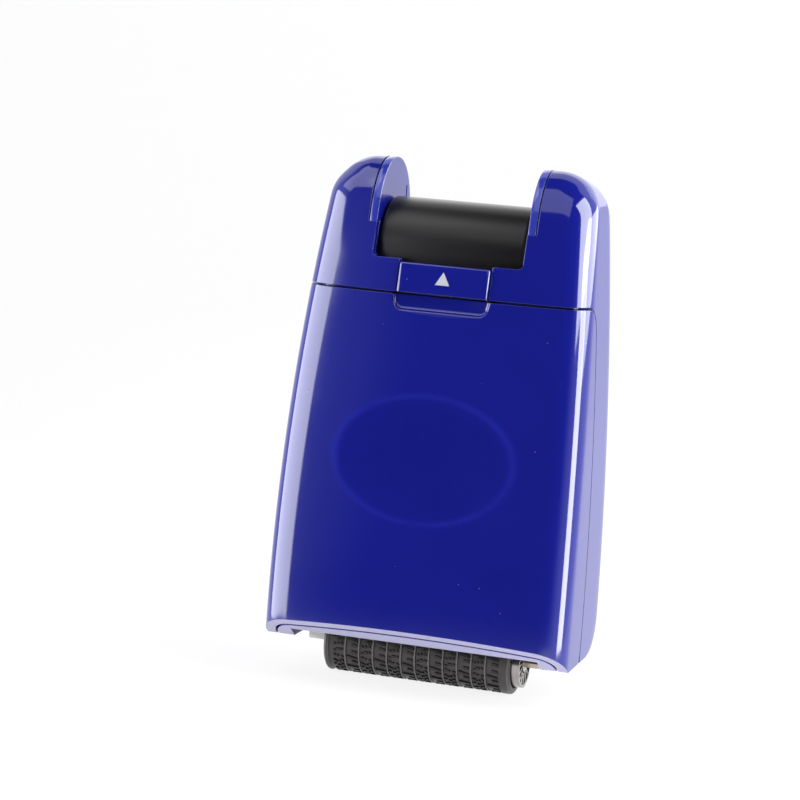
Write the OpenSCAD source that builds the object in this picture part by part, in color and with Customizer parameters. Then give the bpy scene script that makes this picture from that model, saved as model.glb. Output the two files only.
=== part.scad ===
// Hand-held roller stamp: a sprung key pushes a carriage with an inked printing roller
// out of the bottom of a two-part moulded body. It is drawn with the key pressed.
// Heights in the sections below are measured up from the bottom rim of the body.

/* [Body] */
// Width of the body at its widest, just above the bottom rim
body_w = 48; // [47:0.5:54]
// Depth of the body at the bottom
body_d = 28; // [27:0.5:31]
// Height of the body, from its bottom rim to the tops of the horns
body_h = 74.5; // [73:0.5:80]
// Radius of the bow of the front face, seen from the side
front_bow_r = 267; // [255:1:330]
// Height at which the front face stands upright, just below the rim
front_upright_h = -3.7; // [-6:0.1:0]
// Radius of the bow of both sides, seen from the front
side_bow_r = 704; // [600:1:1200]
// Height at which the sides stand upright
side_upright_h = 5; // [0:0.5:10]
// Radius of the crown across the front face, seen from above
crown_r = 153; // [130:1:300]
// Radius of the arch over the top, seen from the side
arch_r = 8.5; // [8:0.1:9]
// Radius of the outer top corners of the horns, seen from the front
horn_corner_r = 7; // [5:0.5:7.5]
// Radius of the upright front edges
front_edge_r = 5; // [4:0.1:6]
// Radius of the upright rear edges
rear_edge_r = 4; // [3:0.1:6]
// Radius of the rear bottom corner, seen from the side
heel_r = 5.5; // [4.5:0.1:5.8]
// Height of the front bottom edge, from which the rim slopes down to the back
toe_h = 4.3; // [3.5:0.1:5]
// How far the sloped part of the rim runs back
toe_run = 6.6; // [6:0.1:7.2]
// Wall of the housing and of the cover
wall = 1.5; // [1.4:0.05:1.8]

/* [Front cover] */
// Height of the seam above the cover
seam_h = 54.8; // [53:0.1:56]
// Depth of the seam down both sides, from the middle of the body
side_seam_y = 0.15; // [-0.5:0.05:0.8]
// Gap of the seam
seam_gap = 0.35; // [0.3:0.05:0.45]
// Radius of the top rear corner of the cover, seen from the side
cover_corner_r = 3.5; // [3:0.1:5]
// Height of the lip behind the seam
lip_w = 1.4; // [1:0.1:1.6]
// Thickness of the lip behind the seam
lip_t = 0.5; // [0.4:0.05:0.6]
// Gap between the lip and the cover
lip_fit = 0.3; // [0.25:0.05:0.35]
// Hinge axis of the cover, from the middle of the body
hinge_y = -6.5; // [-7:0.1:-6]
// Hinge axis of the cover, above the rim
hinge_h = 2.2; // [2:0.1:2.6]
// Radius of the hinge pins
hinge_pin_r = 0.8; // [0.7:0.05:0.9]
// Plastic left outside the blind end of a hinge bore
hinge_skin = 0.6; // [0.5:0.05:0.7]
// Width of the oval dish
dish_w = 27.6; // [20:0.2:30]
// Height of the oval dish
dish_l = 18.9; // [14:0.1:24]
// Depth of the oval dish at its middle
dish_depth = 0.35; // [0.2:0.05:0.5]
// Height of the middle of the oval dish
dish_h = 30.3; // [27:0.1:36]
// Width of the finger scoop at the seam
scoop_w = 15.4; // [13:0.1:18]
// Width of the finger scoop at its lower edge
scoop_low_w = 14.6; // [12:0.1:15]
// Length of the finger scoop down the face
scoop_l = 2.6; // [2:0.1:3.4]
// Depth of the finger scoop in the middle
scoop_depth = 0.7; // [0.6:0.05:0.9]

/* [Horns and key] */
// Clear width between the cheek plates
notch_w = 23.6; // [20:0.1:25]
// Height of the bottom of the notch
notch_low_h = 59.7; // [59.5:0.1:61]
// Radius of the bottom corners of the notch
notch_corner_r = 0.8; // [0.4:0.1:1.2]
// Thickness of a cheek plate
cheek_t = 1.1; // [0.9:0.05:1.4]
// Slit between a cheek plate and its horn
cheek_slit = 0.3; // [0.15:0.05:0.4]
// Height of the step above which the edge of a cheek plate shows, from the bottom of the notch
cheek_step = 5.15; // [3:0.05:6]
// Height of the lower end of a cheek plate
cheek_low_h = 57; // [56.8:0.1:59]
// Height of the top of the pressed key
key_top_h = 68.5; // [67.5:0.1:70]
// Gap in front of and behind the key
key_clear = 0.35; // [0.3:0.05:0.5]
// Height of the skirt of the pressed key
key_low_h = 50; // [46:0.5:52]
// Wall of the key
key_wall = 1.6; // [1.2:0.1:2]
// Rounding of the edges of the key
key_edge_r = 0.7; // [0.4:0.1:1]
// Gap between the key and each cheek plate
key_gap = 0.3; // [0.2:0.05:0.4]

/* [Latch] */
// Width of the latch
latch_w = 14.2; // [12:0.1:16]
// Height of the lower edge of the latch
latch_low_h = 55.2; // [55.2:0.05:56.5]
// Height of the upper edge of the latch
latch_top_h = 59.3; // [58.5:0.05:59.4]
// How far the latch stands out of the face
latch_proud = 0.35; // [0.2:0.05:0.6]
// Gap on each side of the latch
latch_gap = 0.2; // [0.15:0.05:0.3]
// Bevel round the face of the latch
latch_bevel = 0.3; // [0.15:0.05:0.4]
// Width of the arrow
arrow_w = 2.2; // [1.5:0.1:3]
// Height of the arrow
arrow_l = 2; // [1.5:0.1:2.6]

/* [Rollers] */
// Radius of the printing sleeve over its rings
stamp_r = 5.2; // [4.8:0.05:5.4]
// Height of the rings and marks on the sleeve
relief = 0.25; // [0.15:0.05:0.35]
// Width of the smooth collar at the right end of the sleeve
collar_w = 1.55; // [1.2:0.05:2]
// Rounding of both ends of the sleeve
collar_r = 0.5; // [0.3:0.05:0.7]
// Number of rings
ring_count = 11; // [8:1:13]
// Width of a ring
ring_w = 0.22; // [0.15:0.01:0.3]
// Radius of the tube under the sleeve
core_r = 3.6; // [3.2:0.1:3.8]
// Radius of an end cap
cap_r = 4; // [3.9:0.05:4.1]
// How far an end cap stands out of the sleeve
cap_t = 1.3; // [1:0.1:1.5]
// How deep an end cap sits in the sleeve
cap_seat = 1; // [0.8:0.1:1.2]
// Groove between an end cap and the sleeve
cap_gap = 0.25; // [0.2:0.05:0.3]
// Number of ribs on the face of an end cap
cap_ribs = 16; // [10:1:20]
// Height of the axle of the pressed roller, below the rim
stamp_axis_h = -1; // [-1.3:0.05:-0.8]
// Radius of both axles
axle_r = 0.8; // [0.7:0.05:0.9]
// Radius of the felt of the inking roller
ink_r = 4; // [3.6:0.05:4.1]
// Radius of the tube under the felt
ink_core_r = 2.2; // [1.8:0.1:2.6]
// Gap between the sleeve and the felt
ink_gap = 0.15; // [0.1:0.05:0.3]

/* [Carriage] */
// Travel of the key
travel = 7; // [6.8:0.1:7.2]
// Gap between an end cap and an arm
arm_play = 0.4; // [0.3:0.05:0.6]
// Thickness of an arm
arm_t = 3.1; // [2.8:0.1:3.2]
// Depth of an arm
arm_d = 9; // [7:0.1:9.2]
// Depth of the foot of an arm, which holds the axle of the printing roller
foot_d = 3.2; // [2.8:0.1:3.6]
// Thickness of the part of the right foot that is open to the front beside the end cap
foot_open = 1.8; // [1.4:0.1:2]
// Height of the underside of the bridge
bridge_h = 30; // [29:0.1:34]
// Thickness of the bridge
bridge_t = 3; // [2.4:0.1:4]
// Depth of the bridge
bridge_d = 11; // [10:0.1:12]
// Radius of a guide rod
rod_r = 1; // [0.8:0.05:1.2]
// Size of the gussets between the arms and the bridge
gusset = 4; // [3:0.1:5]
// Gap between a gusset and a return spring
gusset_gap = 0.5; // [0.4:0.05:1]
// Mean radius of a return spring
spring_r = 1.75; // [1.7:0.05:2]
// Radius of the spring wire
wire_r = 0.25; // [0.2:0.01:0.26]
// Turns of a return spring
spring_turns = 7; // [5:1:8]
// Running clearance of a shaft in its bore
run_fit = 0.05; // [0.03:0.01:0.08]

/* [Inner frame] */
// Gap between the frame and the walls round it
frame_gap = 0.35; // [0.3:0.05:0.45]
// Gap between an arm and the frame
frame_play = 0.5; // [0.4:0.05:0.7]
// Thickness of an end wall of the frame
frame_end_t = 2.35; // [2.1:0.05:2.6]
// Height of the low front wall of the frame
frame_front_h = 6; // [5.5:0.1:6.5]
// Thickness of the low front wall of the frame
frame_front_t = 2.4; // [2:0.1:2.6]
// Thickness of the rear plate of the frame
frame_rear_t = 1.8; // [1.5:0.1:2]
// Thickness of the shelf under the springs
shelf_t = 2; // [1.6:0.1:2.4]
// Gap between the raised inking roller and the shelf
shelf_gap = 0.6; // [0.4:0.1:1.2]
// Radius of the shank of a screw
screw_r = 0.9; // [0.8:0.05:1]
// Radius of the head of a screw
screw_head_r = 1.7; // [1.5:0.05:1.9]
// Height of the head of a screw
screw_head_t = 1; // [0.8:0.05:1.1]
// Distance of the frame screws from the middle
screw_x = 12; // [10:0.1:14]
// Height of the frame screws
screw_h = 15; // [13:0.1:16]

/* [Hidden] */
$fn = 48;
BLUE = [0.13, 0.15, 0.55];
BLACK = [0.09, 0.09, 0.1];
PALE = [0.88, 0.88, 0.87];
GREY = [0.36, 0.34, 0.33];
RUBBER = [0.24, 0.23, 0.23];
STEEL = [0.75, 0.75, 0.77];
FELT = [0.12, 0.12, 0.16];

// Far enough to run past every wall
past = 40;
// Small overlap where one cut has to pass a face
over = 1;

// The pressed roller reaches this far below the rim, so the rim stands this high
reach = stamp_r - stamp_axis_h;
ink_axis_h = stamp_axis_h + stamp_r + ink_gap + ink_r;
shelf_h = ink_axis_h + ink_r + travel + shelf_gap;
shelf_top_h = shelf_h + shelf_t;

// Side view of the body: front bow, arch and rear face meet without a crease
front_cy = front_bow_r - body_d / 2;
arch_h = body_h - arch_r;
arch_y = front_cy - sqrt(pow(front_bow_r - arch_r, 2) - pow(arch_h - front_upright_h, 2));
foot_y = body_d / 2;
rear_lean = atan((foot_y - arch_y) / arch_h) - asin(arch_r / norm([foot_y - arch_y, arch_h]));
heel_y = foot_y - heel_r * (1 + sin(rear_lean)) / cos(rear_lean);

// Front view of the body: side bow and horn corner meet without a crease
side_cx = body_w / 2 - side_bow_r;
corner_h = body_h - horn_corner_r;
corner_x = side_cx + sqrt(pow(side_bow_r - horn_corner_r, 2) - pow(corner_h - side_upright_h, 2));

// Depth of the body over which the crown of the front fades out towards the top
crown_fade_d = 12;
// Steps of the lofted form
crown_steps = 4;
edge_steps = 6;
heel_steps = 5;
bow_steps = 9;
arch_steps = 10;
arch_end = 87;

// Outline of the body at height h, moved inwards by i
function front_turn(i) =
    front_upright_h + (arch_h - front_upright_h) * (front_bow_r - i) / (front_bow_r - arch_r);
function front_y(h, i = 0) = h < front_turn(i)
    ? front_cy - sqrt(pow(front_bow_r - i, 2) - pow(h - front_upright_h, 2))
    : arch_y - sqrt(max(0, pow(arch_r - i, 2) - pow(h - arch_h, 2)));
function rear_y(h, i = 0) = h < heel_r + (heel_r - i) * sin(rear_lean)
    ? heel_y + sqrt(max(0, pow(heel_r - i, 2) - pow(h - heel_r, 2)))
    : h < arch_h + (arch_r - i) * sin(rear_lean)
    ? foot_y - h * tan(rear_lean) - i / cos(rear_lean)
    : arch_y + sqrt(max(0, pow(arch_r - i, 2) - pow(h - arch_h, 2)));
function side_turn(i) =
    side_upright_h + (corner_h - side_upright_h) * (side_bow_r - i) / (side_bow_r - horn_corner_r);
function half_w(h, i = 0) = h < side_turn(i)
    ? side_cx + sqrt(pow(side_bow_r - i, 2) - pow(h - side_upright_h, 2))
    : corner_x + sqrt(max(0, pow(horn_corner_r - i, 2) - pow(h - corner_h, 2)));
function crown_k(h, i = 0) = min(1, (rear_y(h, i) - front_y(h, i)) / crown_fade_d) / crown_r;
function crown(h, x, i = 0) = crown_k(h, i) * x * x / 2;
function face_lean(h) = asin((h - front_upright_h) / front_bow_r);

// Right half of the section at height h: crowned front, rounded front edge, rounded rear edge
function edge_r(r, h, i) = min(max(r - i, 0.5), 0.42 * (rear_y(h, i) - front_y(h, i)));
function half_section(h, i) = let (
        w = half_w(h, i), f = front_y(h, i), b = rear_y(h, i), k = crown_k(h, i),
        rf = edge_r(front_edge_r, h, i), rb = edge_r(rear_edge_r, h, i),
        xp = (w - rf) / (1 - rf * k), turn = atan(xp * k), cy = f + k * xp * xp / 2 + rf * cos(turn))
    concat(
        [for (n = [0:crown_steps - 1]) let (x = xp * n / crown_steps) [x, f + k * x * x / 2]],
        [for (n = [0:edge_steps]) let (a = (turn - 90) * (1 - n / edge_steps))
            [w - rf + rf * cos(a), cy + rf * sin(a)]],
        [for (n = [0:edge_steps]) let (a = 90 * n / edge_steps)
            [w - rb + rb * cos(a), b - rb + rb * sin(a)]]);
function section(h, i) = let (right = half_section(h, i), n = len(right))
    concat(right, [for (k = [1:n - 1]) [-right[n - k].x, right[n - k].y]]);

// Across the body, from the wall inwards: end walls of the frame, arms, caps, sleeve
end_x = half_w(shelf_top_h, wall) - frame_gap;
opening_x = end_x - frame_end_t;
arm_out = opening_x - frame_play;
arm_in = arm_out - arm_t;
cap_x = arm_in - arm_play;
sleeve_l = 2 * (cap_x - cap_t);
rod_x = arm_in - gusset - gusset_gap - spring_r - wire_r;
leg_x = rod_x / 2;

// Heights of the sections: close together round the heel and over the arch
function levels(i, low, high) = concat([low], [for (h = concat(
        [for (n = [0:heel_steps]) heel_r - (heel_r - i) * cos(90 * n / heel_steps)],
        [for (n = [1:bow_steps]) heel_r + (arch_h - heel_r) * n / bow_steps],
        [for (n = [1:arch_steps]) arch_h + (arch_r - i) * sin(arch_end * n / arch_steps)]))
    if (h > low + 0.05 && h < high - 0.05) h], [high]);

// The body's form as a loft, moved inwards by i, between two heights
module form(i, low, high) {
    hs = levels(i, low, high);
    n = len(section(low, i));
    last = len(hs) - 1;
    polyhedron(
        points = [for (h = hs) for (p = section(h, i)) [p.x, p.y, h]],
        faces = concat(
            [[for (k = [0:n - 1]) k]],
            [for (l = [0:last - 1]) for (k = [0:n - 1]) let (a = l * n + k, b = l * n + (k + 1) % n)
                [a, a + n, b + n]],
            [for (l = [0:last - 1]) for (k = [0:n - 1]) let (a = l * n + k, b = l * n + (k + 1) % n)
                [a, b + n, b]],
            [[for (k = [0:n - 1]) last * n + n - 1 - k]]));
}
form_top = arch_h + arch_r * sin(arch_end);
function cavity_top(i) = arch_h + (arch_r - i) * sin(arch_end);

cheek_step_h = notch_low_h + cheek_step;

// Everything stands on the pressed roller
module lifted() {
    translate([0, 0, reach]) children();
}
// Extrudes a side view, drawn as depth and height, across the body
module across(w) {
    rotate([90, 0, 90]) linear_extrude(w, center = true) children();
}
// A shaft or bore across the body
module cross_rod(r, w, y, h) {
    translate([0, y, h]) rotate([0, 90, 0]) cylinder(r = r, h = w, center = true);
}
module rounded_square(size, r) {
    translate([r, 0]) square([size.x - 2 * r, size.y]);
    translate([0, r]) square([size.x, size.y - 2 * r]);
    for (x = [r, size.x - r], y = [r, size.y - r])
        translate([x, y]) circle(r);
}
// Places what follows on the front face at height h, with y into the body and z up the face
module on_face(h) {
    translate([0, front_y(h), h]) rotate([-face_lean(h), 0, 0]) children();
}

// Side view of the cover; grow adds the seam gap for the cut in the housing
module cover_outline(grow) {
    y = side_seam_y - seam_gap + grow;
    h = seam_h - seam_gap + grow;
    r = cover_corner_r + grow;
    translate([-past, -past]) square([past + y - r, past + h]);
    translate([-past, -past]) square([past + y, past + h - r]);
    translate([y - r, h - r]) circle(r);
}
// The lower rear corner that would foul the housing as the cover swings
module swing_relief() {
    difference() {
        translate([hinge_y, hinge_h - past]) square(past);
        translate([hinge_y, hinge_h]) circle(side_seam_y - seam_gap - hinge_y);
    }
}
// Everything below the sloped front of the rim
module toe_cut() {
    translate([-past, front_y(toe_h) + toe_run, 0])
        rotate([-atan(toe_h / toe_run), 0, 0])
        translate([0, -past, -past]) cube([2 * past, past, past]);
}
// Oval lens that sinks into the face by dish_depth
module dish() {
    lens_x = pow(dish_w / 2, 2) / (2 * dish_depth) + dish_depth / 2;
    lens_h = pow(dish_l / 2, 2) / (2 * dish_depth) + dish_depth / 2;
    turn = 2 * asin(0.62 * dish_w / lens_x);
    on_face(dish_h)
        translate([0, dish_depth - lens_x, 0])
        rotate([0, 0, 90 - turn / 2])
        rotate_extrude(angle = turn, $fn = 1440)
        intersection() {
            translate([lens_x - lens_h, 0]) circle(lens_h, $fn = 1440);
            translate([lens_x - 3 * over, -dish_l]) square([4 * over, 2 * dish_l]);
        }
}
// Finger scoop under the latch, with a floor along the face
module scoop() {
    r = 1.3;
    on_face(seam_h)
        translate([0, scoop_depth, 0])
        rotate([90, 0, 0])
        linear_extrude(4 * over) {
            polygon([[-scoop_w / 2, over], [scoop_w / 2, over], [scoop_low_w / 2, r - scoop_l],
                [scoop_low_w / 2 - r, -scoop_l], [r - scoop_low_w / 2, -scoop_l],
                [-scoop_low_w / 2, r - scoop_l]]);
            for (s = [-1, 1])
                translate([s * (scoop_low_w / 2 - r), r - scoop_l]) circle(r);
        }
}

module front_cover() {
    color(BLUE) lifted() difference() {
        intersection() {
            form(0, 0, seam_h + over);
            across(2 * past) difference() {
                cover_outline(0);
                swing_relief();
            }
        }
        form(wall, -over, seam_h + 2 * over);
        toe_cut();
        scoop();
        dish();
        cross_rod(hinge_pin_r + run_fit, 2 * (half_w(hinge_h) - hinge_skin), hinge_y, hinge_h);
    }
}

// Cut between the horns: narrow below the step, wide enough for the cheek plates above it
module notch() {
    rotate([90, 0, 0]) linear_extrude(2 * past, center = true) {
        translate([-notch_w / 2, notch_low_h]) rounded_square([notch_w, past], notch_corner_r);
        translate([-horn_in, cheek_step_h]) square([2 * horn_in, past]);
    }
}
horn_in = notch_w / 2 + cheek_t + cheek_slit;

// Slot for the latch, with a groove in each side
slot_x = latch_w / 2 + latch_gap;
rib_w = 0.6;
rib_y = 0.55;
rib_t = 0.4;
latch_h = (latch_low_h + latch_top_h) / 2;
latch_l = (latch_top_h - latch_low_h) / cos(face_lean(latch_h));
latch_t = 1.6;
module latch_slot() {
    on_face(latch_h) {
        translate([-slot_x, -wall, -past / 4]) cube([2 * slot_x, 3 * wall, past / 2]);
        translate([-slot_x - rib_w, rib_y - latch_gap, -past / 4])
            cube([2 * (slot_x + rib_w), rib_t + 2 * latch_gap, past / 2]);
    }
}
// Ribs that reach from the wall of a horn to its cheek plate
rest_d = arch_r * 0.7;
rest_t = 1.2;
module cheek_rests() {
    for (s = [-1, 1], h = [cheek_low_h + 1, cheek_step_h - 1.5])
        translate([s * (horn_in - cheek_slit + half_w(h, wall / 2)) / 2, arch_y, h])
            cube([half_w(h, wall / 2) - horn_in + cheek_slit, rest_d, rest_t], center = true);
}
// Bosses for the screws of the inner frame
frame_rear_y = heel_y - frame_gap;
boss_r = screw_r + 1.4;
module screw_bosses() {
    for (s = [-1, 1])
        translate([s * screw_x, frame_rear_y, screw_h])
            rotate([-90, 0, 0])
            cylinder(r = boss_r, h = rear_y(screw_h, wall / 2) - frame_rear_y);
}
screw_l = 5;
module screw_shanks(r, extra) {
    for (s = [-1, 1])
        translate([s * screw_x, frame_rear_y - frame_rear_t - extra, screw_h])
            rotate([-90, 0, 0])
            cylinder(r = r, h = screw_l + extra);
}

// Lip that closes the seam from behind: it grows from the wall of the housing and runs behind the cover
lip_low_h = shelf_top_h + frame_gap;
lip_high_h = seam_h + 2 * lip_w;
module seam_lip() {
    difference() {
        union() {
            intersection() {
                form(wall - lip_fit, lip_low_h, lip_high_h);
                across(2 * past) difference() {
                    cover_outline(seam_gap + lip_w);
                    cover_outline(seam_gap);
                }
            }
            intersection() {
                form(wall + lip_fit, lip_low_h, lip_high_h);
                across(2 * past) difference() {
                    cover_outline(seam_gap + lip_w / 2);
                    cover_outline(-lip_w);
                }
            }
        }
        form(wall + lip_fit + lip_t, lip_low_h - over, lip_high_h + over);
        translate([-slot_x - 2 * rib_w, -past, lip_low_h])
            cube([2 * (slot_x + 2 * rib_w), past, past]);
    }
}

module rear_housing() {
    color(BLUE) lifted() {
        difference() {
            union() {
                difference() {
                    form(0, 0, form_top);
                    form(wall, -over, cavity_top(wall));
                }
                cheek_rests();
                screw_bosses();
            }
            across(2 * past) cover_outline(seam_gap);
            notch();
            latch_slot();
            screw_shanks(screw_r, 0);
        }
        seam_lip();
    }
}

// Cheek plate: its edge lies flush with the horn above the step and behind the wall below it
cheek_fit = 0.2;
cheek_hs = levels(0, cheek_step_h, form_top);
cheek_low_hs = [for (n = [0:4]) cheek_low_h + (cheek_step_h - cheek_low_h) * n / 4];
function cheek_side() = let (x = notch_w / 2 + cheek_t, i = wall + cheek_fit) concat(
        [for (h = cheek_low_hs) [front_y(h, i) + crown(h, x), h]],
        [for (h = cheek_hs) [front_y(h) + crown(h, x), h]],
        [for (n = [len(cheek_hs) - 1:-1:0]) [rear_y(cheek_hs[n]), cheek_hs[n]]],
        [for (n = [len(cheek_low_hs) - 1:-1:0]) [rear_y(cheek_low_hs[n], i), cheek_low_hs[n]]]);
module cheek(s) {
    color(BLUE) lifted()
        translate([s * (notch_w + cheek_t) / 2, 0, 0]) across(cheek_t) polygon(cheek_side());
}
module left_cheek() {
    cheek(-1);
}
module right_cheek() {
    cheek(1);
}

module arrow(t) {
    rotate([90, 0, 0]) linear_extrude(t)
        polygon([[-arrow_w / 2, -arrow_l / 2], [arrow_w / 2, -arrow_l / 2], [0, arrow_l / 2]]);
}
arrow_sunk = 0.2;
arrow_proud = 0.08;
// Latch: bevelled face, ribs that run in the grooves, and a tongue over the top of the cover
module latch_button() {
    color(BLUE) lifted() on_face(latch_h) difference() {
        union() {
            hull() {
                translate([latch_bevel - latch_w / 2, -latch_proud, latch_bevel - latch_l / 2])
                    cube([latch_w - 2 * latch_bevel, latch_t, latch_l - 2 * latch_bevel]);
                translate([-latch_w / 2, latch_bevel - latch_proud, -latch_l / 2])
                    cube([latch_w, latch_t - latch_bevel, latch_l]);
            }
            translate([-latch_w / 2 - rib_w, rib_y, -latch_l / 2 + rib_w])
                cube([latch_w + 2 * rib_w, rib_t, latch_l - 2 * rib_w]);
        }
        translate([0, arrow_sunk - latch_proud, 0]) arrow(arrow_sunk + over);
    }
}
module latch_arrow() {
    color("lightgrey") lifted() on_face(latch_h)
        translate([0, arrow_sunk - latch_proud, 0]) arrow(arrow_sunk + arrow_proud);
}

// The key fills the space between the band in front and the rear wall
key_w = notch_w - 2 * key_gap;
key_front_y = front_y(notch_low_h, wall) + crown(notch_low_h, notch_w / 2) + key_clear;
key_rear_y = rear_y(notch_low_h, wall) - key_clear;
key_r = (key_rear_y - key_front_y) / 2;
key_y = (key_rear_y + key_front_y) / 2;
key_axis_h = key_top_h - key_r;
leg_w = 3.4;
leg_d = 4.5;
bridge_top_h = bridge_h + bridge_t;
key_screw_r = 0.8;
key_screw_l = 7;
// Barrel and skirt of the key, moved inwards by i
module key_form(i) {
    r = max(key_edge_r - i, 0.2);
    w = key_w - 2 * i;
    y = key_r - i;
    translate([0, key_y, key_axis_h]) rotate([0, 90, 0]) rotate_extrude()
        translate([0, -w / 2]) {
            square([y - r, w]);
            translate([0, r]) square([y, w - 2 * r]);
            for (x = [r, w - r])
                translate([y - r, x]) circle(r);
        }
    translate([-w / 2, key_y - y, key_low_h - (i > 0 ? over : 0)])
        linear_extrude(key_axis_h - key_low_h + (i > 0 ? over : 0)) rounded_square([w, 2 * y], r);
}
module press_key() {
    color(BLACK) lifted() difference() {
        union() {
            difference() {
                key_form(0);
                key_form(key_wall);
            }
            for (s = [-1, 1])
                translate([s * leg_x - leg_w / 2, key_y - leg_d / 2, bridge_top_h])
                    cube([leg_w, leg_d, key_top_h - key_wall / 2 - leg_d / 4 - bridge_top_h]);
        }
        for (s = [-1, 1])
            translate([s * leg_x, key_y, bridge_h])
                cylinder(r = key_screw_r, h = key_screw_l);
    }
}
module key_screws() {
    color(STEEL) lifted() for (s = [-1, 1])
        translate([s * leg_x, key_y, bridge_h - screw_head_t]) {
            cylinder(r = screw_head_r, h = screw_head_t);
            cylinder(r = key_screw_r, h = screw_head_t + key_screw_l - over);
        }
}

// Chassis: sloped rim round the roller opening, end walls, rear plate and spring shelf
opening_front_y = front_y(frame_front_h, wall + frame_gap) + frame_front_t;
opening_rear_y = frame_rear_y - frame_rear_t;
end_front_y = -bridge_d / 2 - 1;
module inner_frame() {
    color(BLUE) lifted() difference() {
        union() {
            difference() {
                linear_extrude(frame_front_h) polygon(section(frame_front_h, wall + frame_gap));
                translate([-past, frame_rear_y, -over]) cube([2 * past, past, past]);
            }
            translate([-end_x, end_front_y, 0])
                cube([2 * end_x, frame_rear_y - end_front_y, shelf_top_h]);
        }
        translate([-opening_x, opening_front_y, -over])
            cube([2 * opening_x, opening_rear_y - opening_front_y, shelf_h + over]);
        for (s = [-1, 1])
            translate([s * (arm_in + arm_out) / 2, 0, shelf_h])
                cube([arm_t + 2 * arm_play, arm_d + 2 * arm_play, 4 * shelf_t], center = true);
        for (s = [-1, 1])
            translate([s * rod_x, 0, shelf_h]) cylinder(r = rod_r, h = shelf_t + over);
        toe_cut();
        cross_rod(hinge_pin_r, 2 * past, hinge_y, hinge_h);
        screw_shanks(screw_r, over);
    }
}
module frame_screws() {
    color(STEEL) lifted() {
        screw_shanks(screw_r, 0);
        for (s = [-1, 1])
            translate([s * screw_x, opening_rear_y - screw_head_t, screw_h])
                rotate([-90, 0, 0])
                cylinder(r = screw_head_r, h = screw_head_t);
    }
}
module cover_hinge_pins() {
    pin_in = opening_x + 0.4;
    pin_out = half_w(hinge_h) - hinge_skin - 0.1;
    color(STEEL) lifted() for (s = [-1, 1])
        translate([s * (pin_in + pin_out) / 2, 0, 0])
            cross_rod(hinge_pin_r, pin_out - pin_in, hinge_y, hinge_h);
}

// Carriage: two arms with snap-in seats for the axles, joined by a bridge under the key
arm_low_h = stamp_axis_h - 0.7 * axle_r;
arm_corner_r = 1.5;
foot_h = 2;
foot_corner_r = 0.5;
module arm_side() {
    translate([-arm_d / 2, foot_h])
        rounded_square([arm_d, bridge_top_h - foot_h], arm_corner_r);
    translate([-foot_d / 2, arm_low_h])
        rounded_square([foot_d, foot_h + 2 * arm_corner_r - arm_low_h], foot_corner_r);
}
module carriage_frame() {
    color(PALE) lifted() difference() {
        union() {
            for (s = [-1, 1])
                translate([s * (arm_in + arm_out) / 2, 0, 0]) across(arm_t) arm_side();
            translate([-arm_out, -bridge_d / 2, bridge_h]) cube([2 * arm_out, bridge_d, bridge_t]);
            for (s = [0, 1]) mirror([s, 0, 0])
                translate([arm_in, arm_d / 4, bridge_h]) rotate([90, 0, 0]) linear_extrude(arm_d / 2)
                    polygon([[0, 0], [0, -gusset], [-gusset, 0]]);
        }
        cross_rod(axle_r, 2 * past, 0, stamp_axis_h);
        cross_rod(axle_r, 2 * past, 0, ink_axis_h);
        translate([arm_in + foot_open / 2, foot_d / 8 - foot_d, foot_h / 2 - 2 * over])
            cube([foot_open + 2 * run_fit, 2 * foot_d, 4 * over], center = true);
        for (s = [-1, 1])
            translate([s * rod_x, 0, bridge_h - over]) cylinder(r = rod_r + run_fit, h = bridge_t + 2 * over);
        for (s = [-1, 1])
            translate([s * leg_x, key_y, bridge_h - over]) cylinder(r = key_screw_r, h = bridge_t + 2 * over);
    }
}
rod_top_h = bridge_top_h + travel + 3;
module guide_rod(s) {
    color(STEEL) lifted()
        translate([s * rod_x, 0, shelf_h]) cylinder(r = rod_r, h = rod_top_h - shelf_h);
}
module left_guide_rod() {
    guide_rod(-1);
}
module right_guide_rod() {
    guide_rod(1);
}

// Return spring: one unbroken tube along a helix between the shelf and the bridge
seat_gap = 0.1;
spring_low_h = shelf_top_h + wire_r + seat_gap;
spring_high_h = bridge_h - wire_r - seat_gap;
rings_per_turn = 8;
wire_sides = 6;
spring_rings = spring_turns * rings_per_turn;
spring_pitch = (spring_high_h - spring_low_h) / spring_turns;
function helix(n) = let (a = 360 * n / rings_per_turn)
    [spring_r * cos(a), spring_r * sin(a), spring_low_h + spring_pitch * n / rings_per_turn];
function wire_ring(n) = let (a = 360 * n / rings_per_turn, c = helix(n))
    [for (k = [0:wire_sides - 1]) let (b = 360 * k / wire_sides)
        c + wire_r * [cos(b) * cos(a), cos(b) * sin(a), sin(b)]];
spring_self_gap = min([for (n = [0:spring_rings]) for (m = [n + 6:1:min(spring_rings, n + 10)])
    norm(helix(n) - helix(m))]) - 2 * wire_r;
module return_spring(s) {
    color(STEEL) lifted() translate([s * rod_x, 0, 0]) polyhedron(
        points = [for (n = [0:spring_rings]) for (p = wire_ring(n)) p],
        faces = concat(
            [[for (k = [0:wire_sides - 1]) k]],
            [for (n = [0:spring_rings - 1]) for (k = [0:wire_sides - 1])
                let (a = n * wire_sides + k, b = n * wire_sides + (k + 1) % wire_sides)
                [a, a + wire_sides, b + wire_sides]],
            [for (n = [0:spring_rings - 1]) for (k = [0:wire_sides - 1])
                let (a = n * wire_sides + k, b = n * wire_sides + (k + 1) % wire_sides)
                [a, b + wire_sides, b]],
            [[for (k = [0:wire_sides - 1]) spring_rings * wire_sides + wire_sides - 1 - k]]));
}
module left_return_spring() {
    return_spring(-1);
}
module right_return_spring() {
    return_spring(1);
}

module stamp_axle() {
    color("peru") lifted() cross_rod(axle_r, 2 * arm_out, 0, stamp_axis_h);
}
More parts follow.
